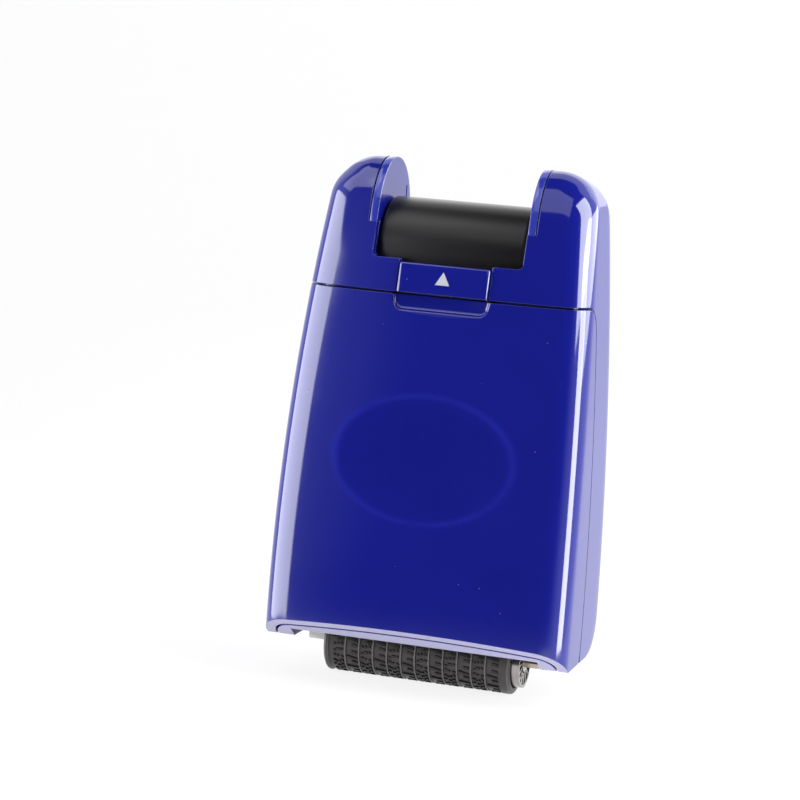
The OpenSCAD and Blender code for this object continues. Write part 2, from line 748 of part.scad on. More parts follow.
// Printing sleeve: a tube with raised rings, rounded ends and a smooth collar at the right end.
// Both ends are bored out for the end caps, and the left end reaches over its cap.
ring_pitch = (sleeve_l - collar_w) / (ring_count + 1);
module printing_sleeve() {
    base_r = stamp_r - relief;
    end = sleeve_l / 2;
    left = end + cap_t;
    color(RUBBER) lifted() translate([0, 0, stamp_axis_h]) rotate([0, 90, 0]) rotate_extrude() difference() {
        union() {
            translate([core_r, collar_r - left]) square([base_r - core_r, left + end - 2 * collar_r]);
            translate([core_r, -left]) square([stamp_r - collar_r - core_r, left + end]);
            for (x = [collar_r - left, end - collar_r])
                translate([stamp_r - collar_r, x]) circle(collar_r);
            for (n = [1:ring_count])
                translate([base_r - relief, -end + n * ring_pitch - ring_w / 2])
                    square([2 * relief, ring_w]);
            translate([base_r - relief, end - collar_w]) square([2 * relief, collar_w - collar_r]);
        }
        translate([0, -left - over]) square([cap_r + cap_gap, over + cap_t + cap_seat]);
        translate([0, end - cap_seat]) square([cap_r + cap_gap, 2 * cap_seat]);
    }
}
module roller_core() {
    color(PALE) lifted() difference() {
        cross_rod(core_r, sleeve_l - 2 * cap_seat, 0, stamp_axis_h);
        cross_rod(axle_r + run_fit, sleeve_l + over, 0, stamp_axis_h);
    }
}
// End cap: a disc with a raised rim, a hub and radial ribs on its outer face
cap_plate = 0.6;
cap_rim = 0.45;
hub_r = axle_r + 0.7;
cap_rib_w = 0.35;
module end_cap(s) {
    color(GREY) lifted() translate([0, 0, stamp_axis_h]) mirror([s < 0 ? 1 : 0, 0, 0]) difference() {
        rotate([0, 90, 0]) translate([0, 0, sleeve_l / 2]) {
            translate([0, 0, -cap_seat]) cylinder(r = cap_r, h = cap_seat + cap_plate);
            cylinder(r = hub_r, h = cap_t);
            difference() {
                cylinder(r = cap_r, h = cap_t);
                cylinder(r = cap_r - cap_rim, h = cap_t + over);
            }
            for (n = [0:cap_ribs - 1])
                rotate(360 * n / cap_ribs) translate([(hub_r + cap_r) / 2, 0, cap_t / 2])
                    cube([cap_r - hub_r - 0.4, cap_rib_w, cap_t - 0.2], center = true);
        }
        cross_rod(axle_r + run_fit, 2 * past, 0, 0);
    }
}
module left_end_cap() {
    end_cap(-1);
}
module right_end_cap() {
    end_cap(1);
}

ink_l = sleeve_l - 1;
module ink_axle() {
    color(STEEL) lifted() cross_rod(axle_r, 2 * arm_out, 0, ink_axis_h);
}
module ink_felt() {
    color(FELT) lifted() difference() {
        cross_rod(ink_r, ink_l, 0, ink_axis_h);
        cross_rod(ink_core_r, ink_l + over, 0, ink_axis_h);
    }
}
module ink_core() {
    color(PALE) lifted() difference() {
        cross_rod(ink_core_r, 2 * cap_x, 0, ink_axis_h);
        cross_rod(axle_r + run_fit, 2 * cap_x + over, 0, ink_axis_h);
    }
}

echo(spring_self_gap = spring_self_gap);

rear_housing();
front_cover();
left_cheek();
right_cheek();
latch_button();
latch_arrow();
press_key();
inner_frame();
carriage_frame();
left_guide_rod();
right_guide_rod();
left_return_spring();
right_return_spring();
cover_hinge_pins();
frame_screws();
key_screws();
stamp_axle();
printing_sleeve();
roller_core();
left_end_cap();
right_end_cap();
ink_axle();
ink_felt();
ink_core();
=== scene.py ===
# %% [markdown]
# # A self-inking roller stamp
#
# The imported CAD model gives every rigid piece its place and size. This lesson dresses it: it
# rebuilds the glossy shells as smooth meshes, gives the printing roller its raised marks, and makes
# a material for each plastic, rubber, felt and metal. Sizes are written in millimetres, as on a
# drawing.

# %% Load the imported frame
import math
import random

import bmesh
import bpy
from mathutils import Matrix, Vector


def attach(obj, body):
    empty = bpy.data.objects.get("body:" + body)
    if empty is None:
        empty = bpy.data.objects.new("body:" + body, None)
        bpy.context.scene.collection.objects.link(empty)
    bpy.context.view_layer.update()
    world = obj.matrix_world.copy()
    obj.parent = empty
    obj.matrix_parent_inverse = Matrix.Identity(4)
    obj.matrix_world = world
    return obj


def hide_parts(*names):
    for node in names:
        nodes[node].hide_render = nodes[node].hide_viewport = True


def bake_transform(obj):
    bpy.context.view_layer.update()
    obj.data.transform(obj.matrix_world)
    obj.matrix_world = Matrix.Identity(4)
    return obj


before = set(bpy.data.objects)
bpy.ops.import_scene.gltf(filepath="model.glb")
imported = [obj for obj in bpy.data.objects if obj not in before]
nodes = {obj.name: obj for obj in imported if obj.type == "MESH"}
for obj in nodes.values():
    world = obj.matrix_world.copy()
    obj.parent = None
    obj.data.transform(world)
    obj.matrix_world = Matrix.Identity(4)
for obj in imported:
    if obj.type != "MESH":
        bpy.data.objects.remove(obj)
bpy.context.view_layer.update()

# %% [markdown]
# ## The form of the body
#
# The body is one moulded form: a bowed front, an arch over the top, a leaning back and two bowed
# sides. Every curve is an arc, so the outline at any height is a short formula, and an inner wall
# is the same formula with smaller arcs. The numbers repeat those of the CAD source.

# %% Arcs of the body
MM = 0.001
REACH = 6.2  # the pressed roller stands this far out of the rim
BODY_W, BODY_D, BODY_H = 48.0, 28.0, 74.5
FRONT_BOW, FRONT_UPRIGHT = 267.0, -3.7
SIDE_BOW, SIDE_UPRIGHT = 704.0, 5.0
CROWN, CROWN_FADE = 153.0, 12.0
ARCH, CORNER, HEEL = 8.5, 7.0, 5.5
FRONT_EDGE, REAR_EDGE = 5.0, 4.0
WALL = 1.5

FRONT_CY = FRONT_BOW - BODY_D / 2
ARCH_H = BODY_H - ARCH
ARCH_Y = FRONT_CY - math.sqrt((FRONT_BOW - ARCH) ** 2 - (ARCH_H - FRONT_UPRIGHT) ** 2)
FOOT = BODY_D / 2
REAR_LEAN = (math.atan((FOOT - ARCH_Y) / ARCH_H)
             - math.asin(ARCH / math.hypot(FOOT - ARCH_Y, ARCH_H)))
HEEL_Y = FOOT - HEEL * (1 + math.sin(REAR_LEAN)) / math.cos(REAR_LEAN)
SIDE_CX = BODY_W / 2 - SIDE_BOW
CORNER_H = BODY_H - CORNER
CORNER_X = SIDE_CX + math.sqrt((SIDE_BOW - CORNER) ** 2 - (CORNER_H - SIDE_UPRIGHT) ** 2)


def root(v):
    return math.sqrt(max(0.0, v))


def front_y(h, inset=0.0):
    turn = FRONT_UPRIGHT + (ARCH_H - FRONT_UPRIGHT) * (FRONT_BOW - inset) / (FRONT_BOW - ARCH)
    if h < turn:
        return FRONT_CY - root((FRONT_BOW - inset) ** 2 - (h - FRONT_UPRIGHT) ** 2)
    return ARCH_Y - root((ARCH - inset) ** 2 - (h - ARCH_H) ** 2)


def rear_y(h, inset=0.0):
    if h < HEEL + (HEEL - inset) * math.sin(REAR_LEAN):
        return HEEL_Y + root((HEEL - inset) ** 2 - (h - HEEL) ** 2)
    if h < ARCH_H + (ARCH - inset) * math.sin(REAR_LEAN):
        return FOOT - h * math.tan(REAR_LEAN) - inset / math.cos(REAR_LEAN)
    return ARCH_Y + root((ARCH - inset) ** 2 - (h - ARCH_H) ** 2)


def half_w(h, inset=0.0):
    turn = SIDE_UPRIGHT + (CORNER_H - SIDE_UPRIGHT) * (SIDE_BOW - inset) / (SIDE_BOW - CORNER)
    if h < turn:
        return SIDE_CX + root((SIDE_BOW - inset) ** 2 - (h - SIDE_UPRIGHT) ** 2)
    return CORNER_X + root((CORNER - inset) ** 2 - (h - CORNER_H) ** 2)


def crown_bend(h, inset=0.0):
    return min(1.0, (rear_y(h, inset) - front_y(h, inset)) / CROWN_FADE) / CROWN


def face_lean(h):
    return math.asin((h - FRONT_UPRIGHT) / FRONT_BOW)


def place(x, y, h):
    return Vector((x, y, h + REACH)) * MM


print("back leans by", round(math.degrees(REAR_LEAN), 2), "degrees")

# %% [markdown]
# ## A grid wrapped round the form
#
# A glossy shell shows every crease, so the CAD's coarse loft isn't good enough here. A grid is
# wrapped round the form instead: its columns follow the outline, close together on the rounded
# edges, and its rows follow the height, close together round the heel and over the arch.

# %% Outline at one height
COLUMNS = (44, 16, 8, 12, 12)  # half the outline: front, front edge, side, rear edge, back
HALF = sum(COLUMNS)
LEAST_EDGE, EDGE_SHARE = 0.5, 0.42  # an edge's least radius, and its most as a share of the depth


def edge_radius(r, h, inset):
    return min(max(r - inset, LEAST_EDGE), EDGE_SHARE * (rear_y(h, inset) - front_y(h, inset)))


def outline(column, h, inset):
    """A point of the outline at height h, from the middle of the front round to the back."""
    w, front, back = half_w(h, inset), front_y(h, inset), rear_y(h, inset)
    bend = crown_bend(h, inset)
    rf, rb = edge_radius(FRONT_EDGE, h, inset), edge_radius(REAR_EDGE, h, inset)
    x_edge = (w - rf) / (1 - rf * bend)
    turn = math.atan(x_edge * bend)
    cy = front + bend * x_edge ** 2 / 2 + rf * math.cos(turn)
    k = column
    if k <= COLUMNS[0]:
        x = x_edge * k / COLUMNS[0]
        return x, front + bend * x * x / 2
    k -= COLUMNS[0]
    if k <= COLUMNS[1]:
        a = (turn - math.pi / 2) * (1 - k / COLUMNS[1])
        return w - rf + rf * math.cos(a), cy + rf * math.sin(a)
    k -= COLUMNS[1]
    if k <= COLUMNS[2]:
        return w, cy + (back - rb - cy) * k / COLUMNS[2]
    k -= COLUMNS[2]
    if k <= COLUMNS[3]:
        a = math.pi / 2 * k / COLUMNS[3]
        return w - rb + rb * math.cos(a), back - rb + rb * math.sin(a)
    k -= COLUMNS[3]
    return (w - rb) * (1 - k / COLUMNS[4]), back


print("outline has", 2 * HALF, "columns")

# %% Wrap a grid round the body
HEEL_ROWS, BOW_ROWS, DISHED_ROWS, ARCH_ROWS, ROW_GAP = 9, 64, 150, 20, 0.1
ARCH_TURN = math.radians(88)  # the rows end just short of the top
DISH_W, DISH_L, DISH_DEPTH, DISH_H = 27.6, 18.9, 0.6, 30.3
RIM_SOFT, RIM_END = 0.003, -0.5
WELD = 0.0005


def dish(x, h):
    """Depth of the oval dish in the cover, whose rim is softened over half a millimetre."""
    inside = 1 - (x / (DISH_W / 2)) ** 2 - ((h - DISH_H) / (DISH_L / 2)) ** 2
    if inside <= RIM_END:
        return 0.0
    return DISH_DEPTH * (inside + math.sqrt(inside ** 2 + RIM_SOFT)) / 2


def grid_top(inset=0.0):
    return ARCH_H + (ARCH - inset) * math.sin(ARCH_TURN)


def rows(inset, low, high, bow_rows=BOW_ROWS):
    """Heights of the rows between two heights: round the heel, up the bow and over the arch."""
    heel = [HEEL - (HEEL - inset) * math.cos(math.pi / 2 * n / HEEL_ROWS)
            for n in range(HEEL_ROWS + 1)]
    bow = [HEEL + (ARCH_H - HEEL) * n / bow_rows for n in range(1, bow_rows + 1)]
    arch = [ARCH_H + (ARCH - inset) * math.sin(ARCH_TURN * n / ARCH_ROWS)
            for n in range(1, ARCH_ROWS + 1)]
    between = [h for h in heel + bow + arch if low + ROW_GAP < h < high - ROW_GAP]
    return [low] + between + [high]


def make(bm, name):
    mesh = bpy.data.meshes.new(name)
    bm.to_mesh(mesh)
    bm.free()
    piece = bpy.data.objects.new(name, mesh)
    bpy.context.scene.collection.objects.link(piece)
    return piece


def wrapped(name, inset, low, high, dished=False):
    heights = rows(inset, low, high, DISHED_ROWS if dished else BOW_ROWS)
    bm = bmesh.new()
    bmesh.ops.create_grid(bm, x_segments=2 * HALF, y_segments=len(heights) - 1, size=0.5)
    for v in bm.verts:
        column = round((v.co.x + 0.5) * 2 * HALF)
        from_front = min(column, 2 * HALF - column)
        h = heights[round((v.co.y + 0.5) * (len(heights) - 1))]
        x, y = outline(from_front, h, inset)
        if dished and from_front < COLUMNS[0]:
            y += dish(x, h)
        v.co = place(x if column <= HALF else -x, y, h)
    bmesh.ops.remove_doubles(bm, verts=bm.verts, dist=WELD * MM)
    bmesh.ops.holes_fill(bm, edges=[e for e in bm.edges if e.is_boundary])
    bmesh.ops.recalc_face_normals(bm, faces=bm.faces)
    return make(bm, name)


print("grid has", len(rows(0.0, 0.0, grid_top())), "rows up to", round(grid_top(), 2), "mm")

# %% [markdown]
# ## Cutting tools
#
# A mould has cores and slides that leave the seams, slots and pockets. Here each of them is a
# prism: a flat outline that is extruded, and a Boolean modifier takes it out of the shell. The
# modifier is applied at once, so each piece ends as one plain mesh.

# %% Prisms and cuts
PAST = 30.0  # far enough to run past every wall


def prism(name, corners, push):
    bm = bmesh.new()
    face = bm.faces.new([bm.verts.new(c) for c in corners])
    grown = bmesh.ops.extrude_face_region(bm, geom=[face])["geom"]
    moved = [g for g in grown if isinstance(g, bmesh.types.BMVert)]
    bmesh.ops.translate(bm, verts=moved, vec=push)
    bmesh.ops.recalc_face_normals(bm, faces=bm.faces)
    return make(bm, name)


def side_prism(name, points, half=PAST):
    """A prism across the body, from a side view of depths and heights."""
    return prism(name, [place(-half, y, h) for y, h in points], (2 * half * MM, 0, 0))


def arc(cx, cy, r, start, end, steps):
    angles = [math.radians(start + (end - start) * n / steps) for n in range(steps + 1)]
    return [(cx + r * math.cos(a), cy + r * math.sin(a)) for a in angles]


def carve(piece, *tools, how="DIFFERENCE"):
    for tool in tools:
        cut = piece.modifiers.new("cut", "BOOLEAN")
        cut.operation, cut.solver, cut.object = how, "EXACT", tool
        shaped = piece.evaluated_get(bpy.context.evaluated_depsgraph_get())
        mesh = bpy.data.meshes.new_from_object(shaped)
        piece.modifiers.clear()
        piece.data = mesh
        bpy.data.objects.remove(tool)
    return piece


def face_frame(h):
    """A frame on the front face at height h: x to the right, y into the body, z up the face."""
    return Matrix.Translation(place(0, front_y(h), h)) @ Matrix.Rotation(-face_lean(h), 4, "X")


print("face leans by", round(math.degrees(face_lean(DISH_H)), 2), "degrees at the dish")

# %% [markdown]
# ## Materials
#
# Each material starts from the real one. A function turns a colour as it is written on a screen
# into the linear values that the shader wants, and another adds one node with its settings and
# links. A material begins in one colour, and further colours are laid over it by a pattern.

# %% Colour and node helpers
def linear(code):
    """An sRGB hex colour as linear red, green, blue and alpha."""
    parts = [int(code[i:i + 2], 16) / 255 for i in (1, 3, 5)]
    return [p / 12.92 if p <= 0.04045 else ((p + 0.055) / 1.055) ** 2.4 for p in parts] + [1.0]


def add(owner, kind, inputs=None, out=0, **settings):
    """One node, such as "Math": its settings, its inputs as values or links, and one output."""
    node = owner.node_tree.nodes.new("ShaderNode" + kind)
    for key, value in settings.items():
        setattr(node, key, value)
    for key, value in (inputs or {}).items():
        if isinstance(value, bpy.types.NodeSocket):
            owner.node_tree.links.new(value, node.inputs[key])
        else:
            node.inputs[key].default_value = value
    return node.outputs[out]


def shader_of(material):
    return material.node_tree.nodes["Principled BSDF"]


def begin(name, **values):
    """A material with values on its shader, and the place on the piece that its patterns read."""
    material = bpy.data.materials.new(name)
    material.use_nodes = True
    for key, value in values.items():
        shader_of(material).inputs[key.replace("_", " ")].default_value = value
    return material, add(material, "TexCoord", out="Object")


def connect(material, **outputs):
    """Links outputs of nodes to the shader's inputs."""
    for key, output in outputs.items():
        material.node_tree.links.new(output, shader_of(material).inputs[key.replace("_", " ")])


def tint(material, share, tone):
    """Lays a colour over the one that is there, by a share between nought and one."""
    colour = shader_of(material).inputs["Base Color"]
    under = colour.links[0].from_socket if colour.is_linked else colour.default_value[:]
    both = add(material, "Mix", {0: share, 6: under, 7: linear(tone)}, out=2, data_type="RGBA")
    connect(material, Base_Color=both)


def per_mm(size):
    """The scale of a noise whose features are about this many millimetres wide."""
    return 1 / (size * MM)


print("half grey on a screen is", round(linear("#808080")[0], 3), "in linear light")

# %% [markdown]
# ### Blue ABS, moulded in a polished tool
#
# The shells are dyed through and shine like lacquer, because the steel mould was polished. Close up
# the skin isn't quite flat: it has a faint orange peel from the cooling melt, and the dye flows in
# clouds. Every edge of a moulding is a little round, or it would stick in the mould, so edges are
# shaded as if they had a small radius and catch a thin line of light. The index of refraction is
# above that of ABS, to match the strong gloss. A few specks of dust, a tenth of a millimetre wide,
# lie all over. The key is the same plastic in black, with a satin skin that is rubbed from side to
# side.

# %% ABS
def moulded_abs(name, deep, light, roughness, ior, stretch=(1, 1, 1)):
    material, where = begin(name, Base_Color=linear(deep), IOR=ior)
    clouds = add(material, "TexNoise", {"Vector": where, "Scale": per_mm(14), "Detail": 2.0})
    tint(material, clouds, light)
    grid = add(material, "TexVoronoi", {"Vector": where, "Scale": per_mm(4)}, out="Distance")
    speck = add(material, "MapRange",
                {"Value": grid, "From Min": 0.03, "From Max": 0.015, "To Max": 0.35})
    tint(material, speck, "#9a9aa8")
    drawn = add(material, "Mapping", {"Vector": where, "Scale": stretch})
    rub = add(material, "TexNoise", {"Vector": drawn, "Scale": per_mm(6), "Detail": 5.0})
    gloss = add(material, "MapRange",
                {"Value": rub, "To Min": 0.7 * roughness, "To Max": 1.3 * roughness})
    peel = add(material, "TexNoise", {"Vector": where, "Scale": per_mm(3.5), "Detail": 1.0})
    soft_edge = add(material, "Bevel", {"Radius": 0.12 * MM}, samples=6)
    skin = add(material, "Bump", {"Height": peel, "Distance": 0.02 * MM, "Strength": 0.06,
                                  "Normal": soft_edge})
    connect(material, Roughness=gloss, Normal=skin)
    return material


POLISHED_BLUE = {"deep": "#0d136e", "light": "#111878", "roughness": 0.08, "ior": 1.7}
blue_abs = moulded_abs("abs_polished_blue", **POLISHED_BLUE)
cover_abs = moulded_abs("abs_polished_blue_cover", **POLISHED_BLUE)
cheek_abs = moulded_abs("abs_polished_blue_plate", **POLISHED_BLUE)
black_abs = moulded_abs("abs_satin_black", "#0b0a0b", "#121011", 0.33, 1.46,
                        stretch=(0.04, 1, 1))
print("blue index of refraction:", POLISHED_BLUE["ior"])

# %% [markdown]
# ### Painted light on the blue
#
# The blue isn't the same all over: light is painted into it. The sloped toe of the rim is painted
# pale, a painted reflection of the bright ground. The oval dish has painted shade inside and a
# painted highlight on its rim. The edges of the cheek plates have a painted sheen, paler than the
# flats. A mask for each comes from the way a face looks, or from the distance to the dish's middle.

# %% Painted light on the blue
TOE_H, TOE_RUN = 4.3, 6.6
TOE_WAY = Vector((0, -TOE_H, -TOE_RUN)).normalized()


def slope_painted_reflection(material, slope, pale):
    """Paler on faces that look along the slope: a painted reflection of the bright ground below."""
    facing = add(material, "TexCoord", out="Normal")
    likeness = add(material, "VectorMath", {0: facing, 1: slope}, out="Value",
                   operation="DOT_PRODUCT")
    painted_light_share = add(material, "MapRange", {"Value": likeness, "From Min": 0.93, "From Max": 0.98})
    tint(material, painted_light_share, pale)


def dish_painted_shade_and_highlight(material, pale, deep):
    """Painted shade inside the dish and a painted highlight on its rim, on faces that look to the
    front.
    """
    spot = add(material, "TexCoord", out="Object")
    facing = add(material, "VectorMath", {0: spot.node.outputs["Normal"], 1: (0, -1, 0)},
                 out="Value", operation="DOT_PRODUCT")
    from_middle = add(material, "VectorMath", {0: spot, 1: place(0, 0, DISH_H)},
                      operation="SUBTRACT")
    per_radius = (per_mm(DISH_W / 2), 0, per_mm(DISH_L / 2))
    in_radii = add(material, "VectorMath", {0: from_middle, 1: per_radius}, operation="MULTIPLY")
    radius = add(material, "VectorMath", {0: in_radii}, out="Value", operation="LENGTH")
    off_rim = add(material, "Math", {0: radius, 1: 1.01}, operation="SUBTRACT")
    distance = add(material, "Math", {0: off_rim}, operation="ABSOLUTE")
    rim_highlight_noise = add(material, "TexNoise", {"Vector": spot, "Scale": per_mm(5), "Detail": 4.0})
    rim = add(material, "MapRange",
              {"Value": distance, "From Min": 0.08, "From Max": 0.0, "To Max": rim_highlight_noise})
    floor = add(material, "MapRange",
                {"Value": radius, "From Min": 1.02, "From Max": 0.78, "To Max": 0.4})
    for mask, tone in ((floor, deep), (rim, pale)):
        painted_light_share = add(material, "Math", {0: facing, 1: mask}, operation="MULTIPLY", use_clamp=True)
        tint(material, painted_light_share, tone)


def edge_painted_sheen(material, pale):
    """A painted sheen: paler on the edge of a plate whose flats look left and right."""
    facing = add(material, "TexCoord", out="Normal")
    squared = add(material, "VectorMath", {0: facing, 1: facing}, operation="MULTIPLY")
    sideways = add(material, "VectorMath", {0: squared, 1: (1, 0, 0)}, out="Value",
                   operation="DOT_PRODUCT")
    edge = add(material, "MapRange", {"Value": sideways, "From Min": 0.6, "From Max": 0.2})
    tint(material, edge, pale)


# A painted reflection of the bright ground below: the sloped toe is painted pale.
for shell in (blue_abs, cover_abs):
    slope_painted_reflection(shell, TOE_WAY, "#9a98bf")
# Painted shade inside the oval dish and a painted highlight on its rim.
dish_painted_shade_and_highlight(cover_abs, "#1b228c", "#0c126a")
# A painted sheen on the edges of the cheek plates; their roughness stays that of the flats.
edge_painted_sheen(cheek_abs, "#29328f")
for shell in (blue_abs, cover_abs, cheek_abs):
    print(shell.name, "has", len(shell.node_tree.nodes), "nodes")

# %% [markdown]
# ### Acetal, print and metals
#
# The carriage is pale acetal, a slippery plastic with a waxy, faintly mottled skin. The arrow on
# the latch is pad printed, in ink that dries matt and a little uneven. The pins are drawn steel and
# brass, with fine lines along the way they were drawn. The roller's caps are ABS with a coat of
# nickel, which mirrors softly through a thin haze. Each has one pattern, in its colour and gloss.
# Real drawing lines and print grain are finer than the 0.2 and 0.3 mm here, and wouldn't show.

# %% Acetal, print and metals
def patterned(name, dark, light, size, roughness, stretch=(1, 1, 1), **values):
    """A material with one noise of this size in millimetres, and the noise itself."""
    material, where = begin(name, Base_Color=linear(dark), **values)
    drawn = add(material, "Mapping", {"Vector": where, "Scale": stretch})
    pattern = add(material, "TexNoise", {"Vector": drawn, "Scale": per_mm(size), "Detail": 3.0})
    tint(material, pattern, light)
    gloss = add(material, "MapRange",
                {"Value": pattern, "To Min": roughness[0], "To Max": roughness[1]})
    connect(material, Roughness=gloss)
    return material, pattern


def drawn_metal(name, dark, light, stretch):
    return patterned(name, dark, light, 0.2, (0.22, 0.4), stretch, Metallic=1.0)[0]


ALONG_X, ALONG_Z = (0.05, 1, 1), (1, 1, 0.05)
steel_x = drawn_metal("steel_drawn_across", "#8f9092", "#b9babc", ALONG_X)
steel_z = drawn_metal("steel_drawn_upright", "#8f9092", "#b9babc", ALONG_Z)
plated_brass = drawn_metal("brass_drawn_nickel_plated", "#b3a597", "#d2c6ba", ALONG_X)
pale_print = patterned("pad_print_pale", "#9c9ea4", "#babcc2", 0.3, (0.45, 0.6), IOR=1.5)[0]

acetal, mottle = patterned("acetal_moulded_pale", "#d9d9d4", "#e4e4df", 2.5, (0.32, 0.46),
                           IOR=1.48)
connect(acetal, Normal=add(acetal, "Bump", {
    "Height": mottle, "Distance": 0.02 * MM, "Strength": 0.1}))

plated_caps, haze = patterned("abs_nickel_plated", "#9a9694", "#b4b0ad", 1.5, (0.14, 0.28),
                              Metallic=1.0)
cap_edge = add(plated_caps, "Bevel", {"Radius": 0.15 * MM}, samples=6)
connect(plated_caps, Normal=add(plated_caps, "Bump", {
    "Height": haze, "Distance": 0.02 * MM, "Strength": 0.1, "Normal": cap_edge}))
for material in (steel_x, steel_z, plated_brass, pale_print, acetal, plated_caps):
    print(material.name, "has", len(material.node_tree.nodes), "nodes")

# %% [markdown]
# ### Vulcanised rubber
#
# The sleeve is grey rubber with a fine grain, drawn coarser than it is so that it shows. Its thin
# rings are paler on top: partly wear where they rub on the paper, partly a painted highlight.
# Ink has dyed its marks black. The distance from the axle tells the ring tops from the rest.

# %% Rubber
STAMP_R, RELIEF, AXIS_H = 5.2, 0.25, -1.0
BASE_R, RING_R = STAMP_R - RELIEF, STAMP_R - 0.06


def vulcanised_rubber(name, dark, light, ring_top_tone, roughness):
    material, where = begin(name, Base_Color=linear(dark), IOR=1.52)
    stain = add(material, "TexNoise", {"Vector": where, "Scale": per_mm(3), "Detail": 2.0})
    tint(material, stain, light)
    from_axle = add(material, "VectorMath", {0: where, 1: place(0, 0, AXIS_H)},
                    operation="SUBTRACT")
    across = add(material, "VectorMath", {0: from_axle, 1: (0, 1, 1)}, operation="MULTIPLY")
    radius = add(material, "VectorMath", {0: across}, out="Value", operation="LENGTH")
    off_ring = add(material, "Math", {0: radius, 1: RING_R * MM}, operation="SUBTRACT")
    distance = add(material, "Math", {0: off_ring}, operation="ABSOLUTE")
    # Ring tops: partly wear from the paper, partly a painted highlight.
    ring_top = add(material, "MapRange",
                   {"Value": distance, "From Min": 0.055 * MM, "From Max": 0.02 * MM})
    tint(material, ring_top, ring_top_tone)
    grain = add(material, "TexNoise", {"Vector": where, "Scale": per_mm(0.35), "Detail": 4.0})
    gloss = add(material, "MapRange",
                {"Value": grain, "To Min": 0.8 * roughness, "To Max": 1.2 * roughness})
    relief = add(material, "Bump", {"Height": grain, "Distance": 0.03 * MM, "Strength": 0.25})
    connect(material, Roughness=gloss, Normal=relief)
    return material


rubber = vulcanised_rubber("rubber_vulcanised_grey", "#34302f", "#423e3c", "#6b6865", 0.42)
inked_rubber = vulcanised_rubber("rubber_vulcanised_inked", "#110f0f", "#191716", "#0d0c0c", 0.4)
print("ring tops at a radius of", round(RING_R, 2), "mm")

# %% [markdown]
# ## Finishing a piece
#
# Every new piece ends in the same way: smooth shading with sharp creases, its material, the body
# that it moves with, and the CAD node that it stands for hidden.

# %% Finish a piece
def settle(piece, body, slot, material, *stands_for, crease=30):
    piece.data.shade_smooth()
    piece.data.set_sharp_from_angle(angle=math.radians(crease))
    piece.data.materials.clear()
    piece.data.materials.append(material)
    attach(piece, body)
    if stands_for:
        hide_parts(*stands_for)
    print(piece.name, "has", len(piece.data.polygons), "faces")


# %% [markdown]
# ## Front cover
#
# The cover is the front half of the form, cut off at the seam. Its rear top corner is round, seen
# from the side, and its lower rear corner follows the swing of the hinge. A slope takes off the
# toe, a scoop leaves room to push the latch up from below, and the oval dish is already in the
# wrapped grid.

# %% Seam and toe
SEAM_H, SEAM_GAP, SIDE_SEAM = 54.8, 0.35, 0.15
COVER_CORNER, COVER_SWING = 3.5, 80
HINGE_Y, HINGE_H, HINGE_PIN, RUN_FIT, HINGE_SKIN = -6.5, 2.2, 0.8, 0.05, 0.6


def cover_side(grow, relieved):
    """Side view of the cover; grow adds the seam gap for the cut in the housing."""
    y, h, r = SIDE_SEAM - SEAM_GAP + grow, SEAM_H - SEAM_GAP + grow, COVER_CORNER + grow
    top = arc(y - r, h - r, r, 0, 90, 14) + [(-PAST, h), (-PAST, -PAST)]
    if relieved:
        return arc(HINGE_Y, HINGE_H, y - HINGE_Y, -COVER_SWING, 0, 16) + top
    return [(y, -PAST)] + top


def toe_prism():
    """What lies below the sloped front of the rim."""
    back, steep = front_y(TOE_H) + TOE_RUN, TOE_H / TOE_RUN
    return side_prism("toe", [(back, 0.0), (back - PAST, PAST * steep), (-2 * PAST, -PAST),
                              (back, -PAST)])


print("toe slopes by", round(math.degrees(math.atan(TOE_H / TOE_RUN)), 1), "degrees")

# %% Scoop
SCOOP_W, SCOOP_LOW_W, SCOOP_L, SCOOP_DEPTH, SCOOP_R = 15.4, 14.6, 2.6, 0.7, 1.3
SCOOP_LIP, SCOOP_FILLET, SCOOP_OVER = 0.25, 0.45, 1.0


def scoop_loop(grow, sunk):
    """The scoop's outline, grown sideways, at a share of the way from the face to its floor."""
    lean = face_lean(SEAM_H)
    right = arc(SCOOP_LOW_W / 2 - SCOOP_R, SCOOP_R - SCOOP_L, SCOOP_R + grow, -90, 0, 10)
    right += [(SCOOP_W / 2 + grow, SCOOP_OVER)]
    loop = []
    for x, z in right + [(-x, z) for x, z in reversed(right)]:
        h = SEAM_H + z * math.cos(lean)
        face = front_y(h) + crown_bend(h) * x * x / 2
        floor = front_y(SEAM_H) + (h - SEAM_H) * math.tan(lean) + SCOOP_DEPTH
        loop.append(place(x, face + (floor - face) * sunk, h))
    return loop


def stacked(name, loops):
    """A closed body through a stack of outlines."""
    bm = bmesh.new()
    rings = []
    for loop in loops:
        verts = [bm.verts.new(p) for p in loop]
        rings.append([bm.edges.new((verts[i - 1], verts[i])) for i in range(len(verts))])
    for one, other in zip(rings, rings[1:]):
        bmesh.ops.bridge_loops(bm, edges=one + other)
    for ring in (rings[0], rings[-1]):
        bmesh.ops.contextual_create(bm, geom=ring)
    bmesh.ops.recalc_face_normals(bm, faces=bm.faces)
    return make(bm, name)


def scoop_tool():
    """The scoop's core: a rounded lip at the face, and a round corner between wall and floor."""
    lip = [math.radians(a) for a in (20, 40, 60, 80)]
    corner = [math.radians(a) for a in (0, 22, 45, 68, 90)]
    steps = [(SCOOP_LIP * (1 - math.sin(a)), SCOOP_LIP * (1 - math.cos(a))) for a in lip]
    steps += [(SCOOP_FILLET * (math.cos(a) - 1), SCOOP_DEPTH - SCOOP_FILLET * (1 - math.sin(a)))
              for a in corner]
    steps.insert(0, (steps[0][0] + 1 / math.tan(lip[0]), steps[0][1] - 1))
    return stacked("scoop", [scoop_loop(grow, deep / SCOOP_DEPTH) for grow, deep in steps])


print("scoop's outline has", len(scoop_loop(0.0, 0.0)), "points")

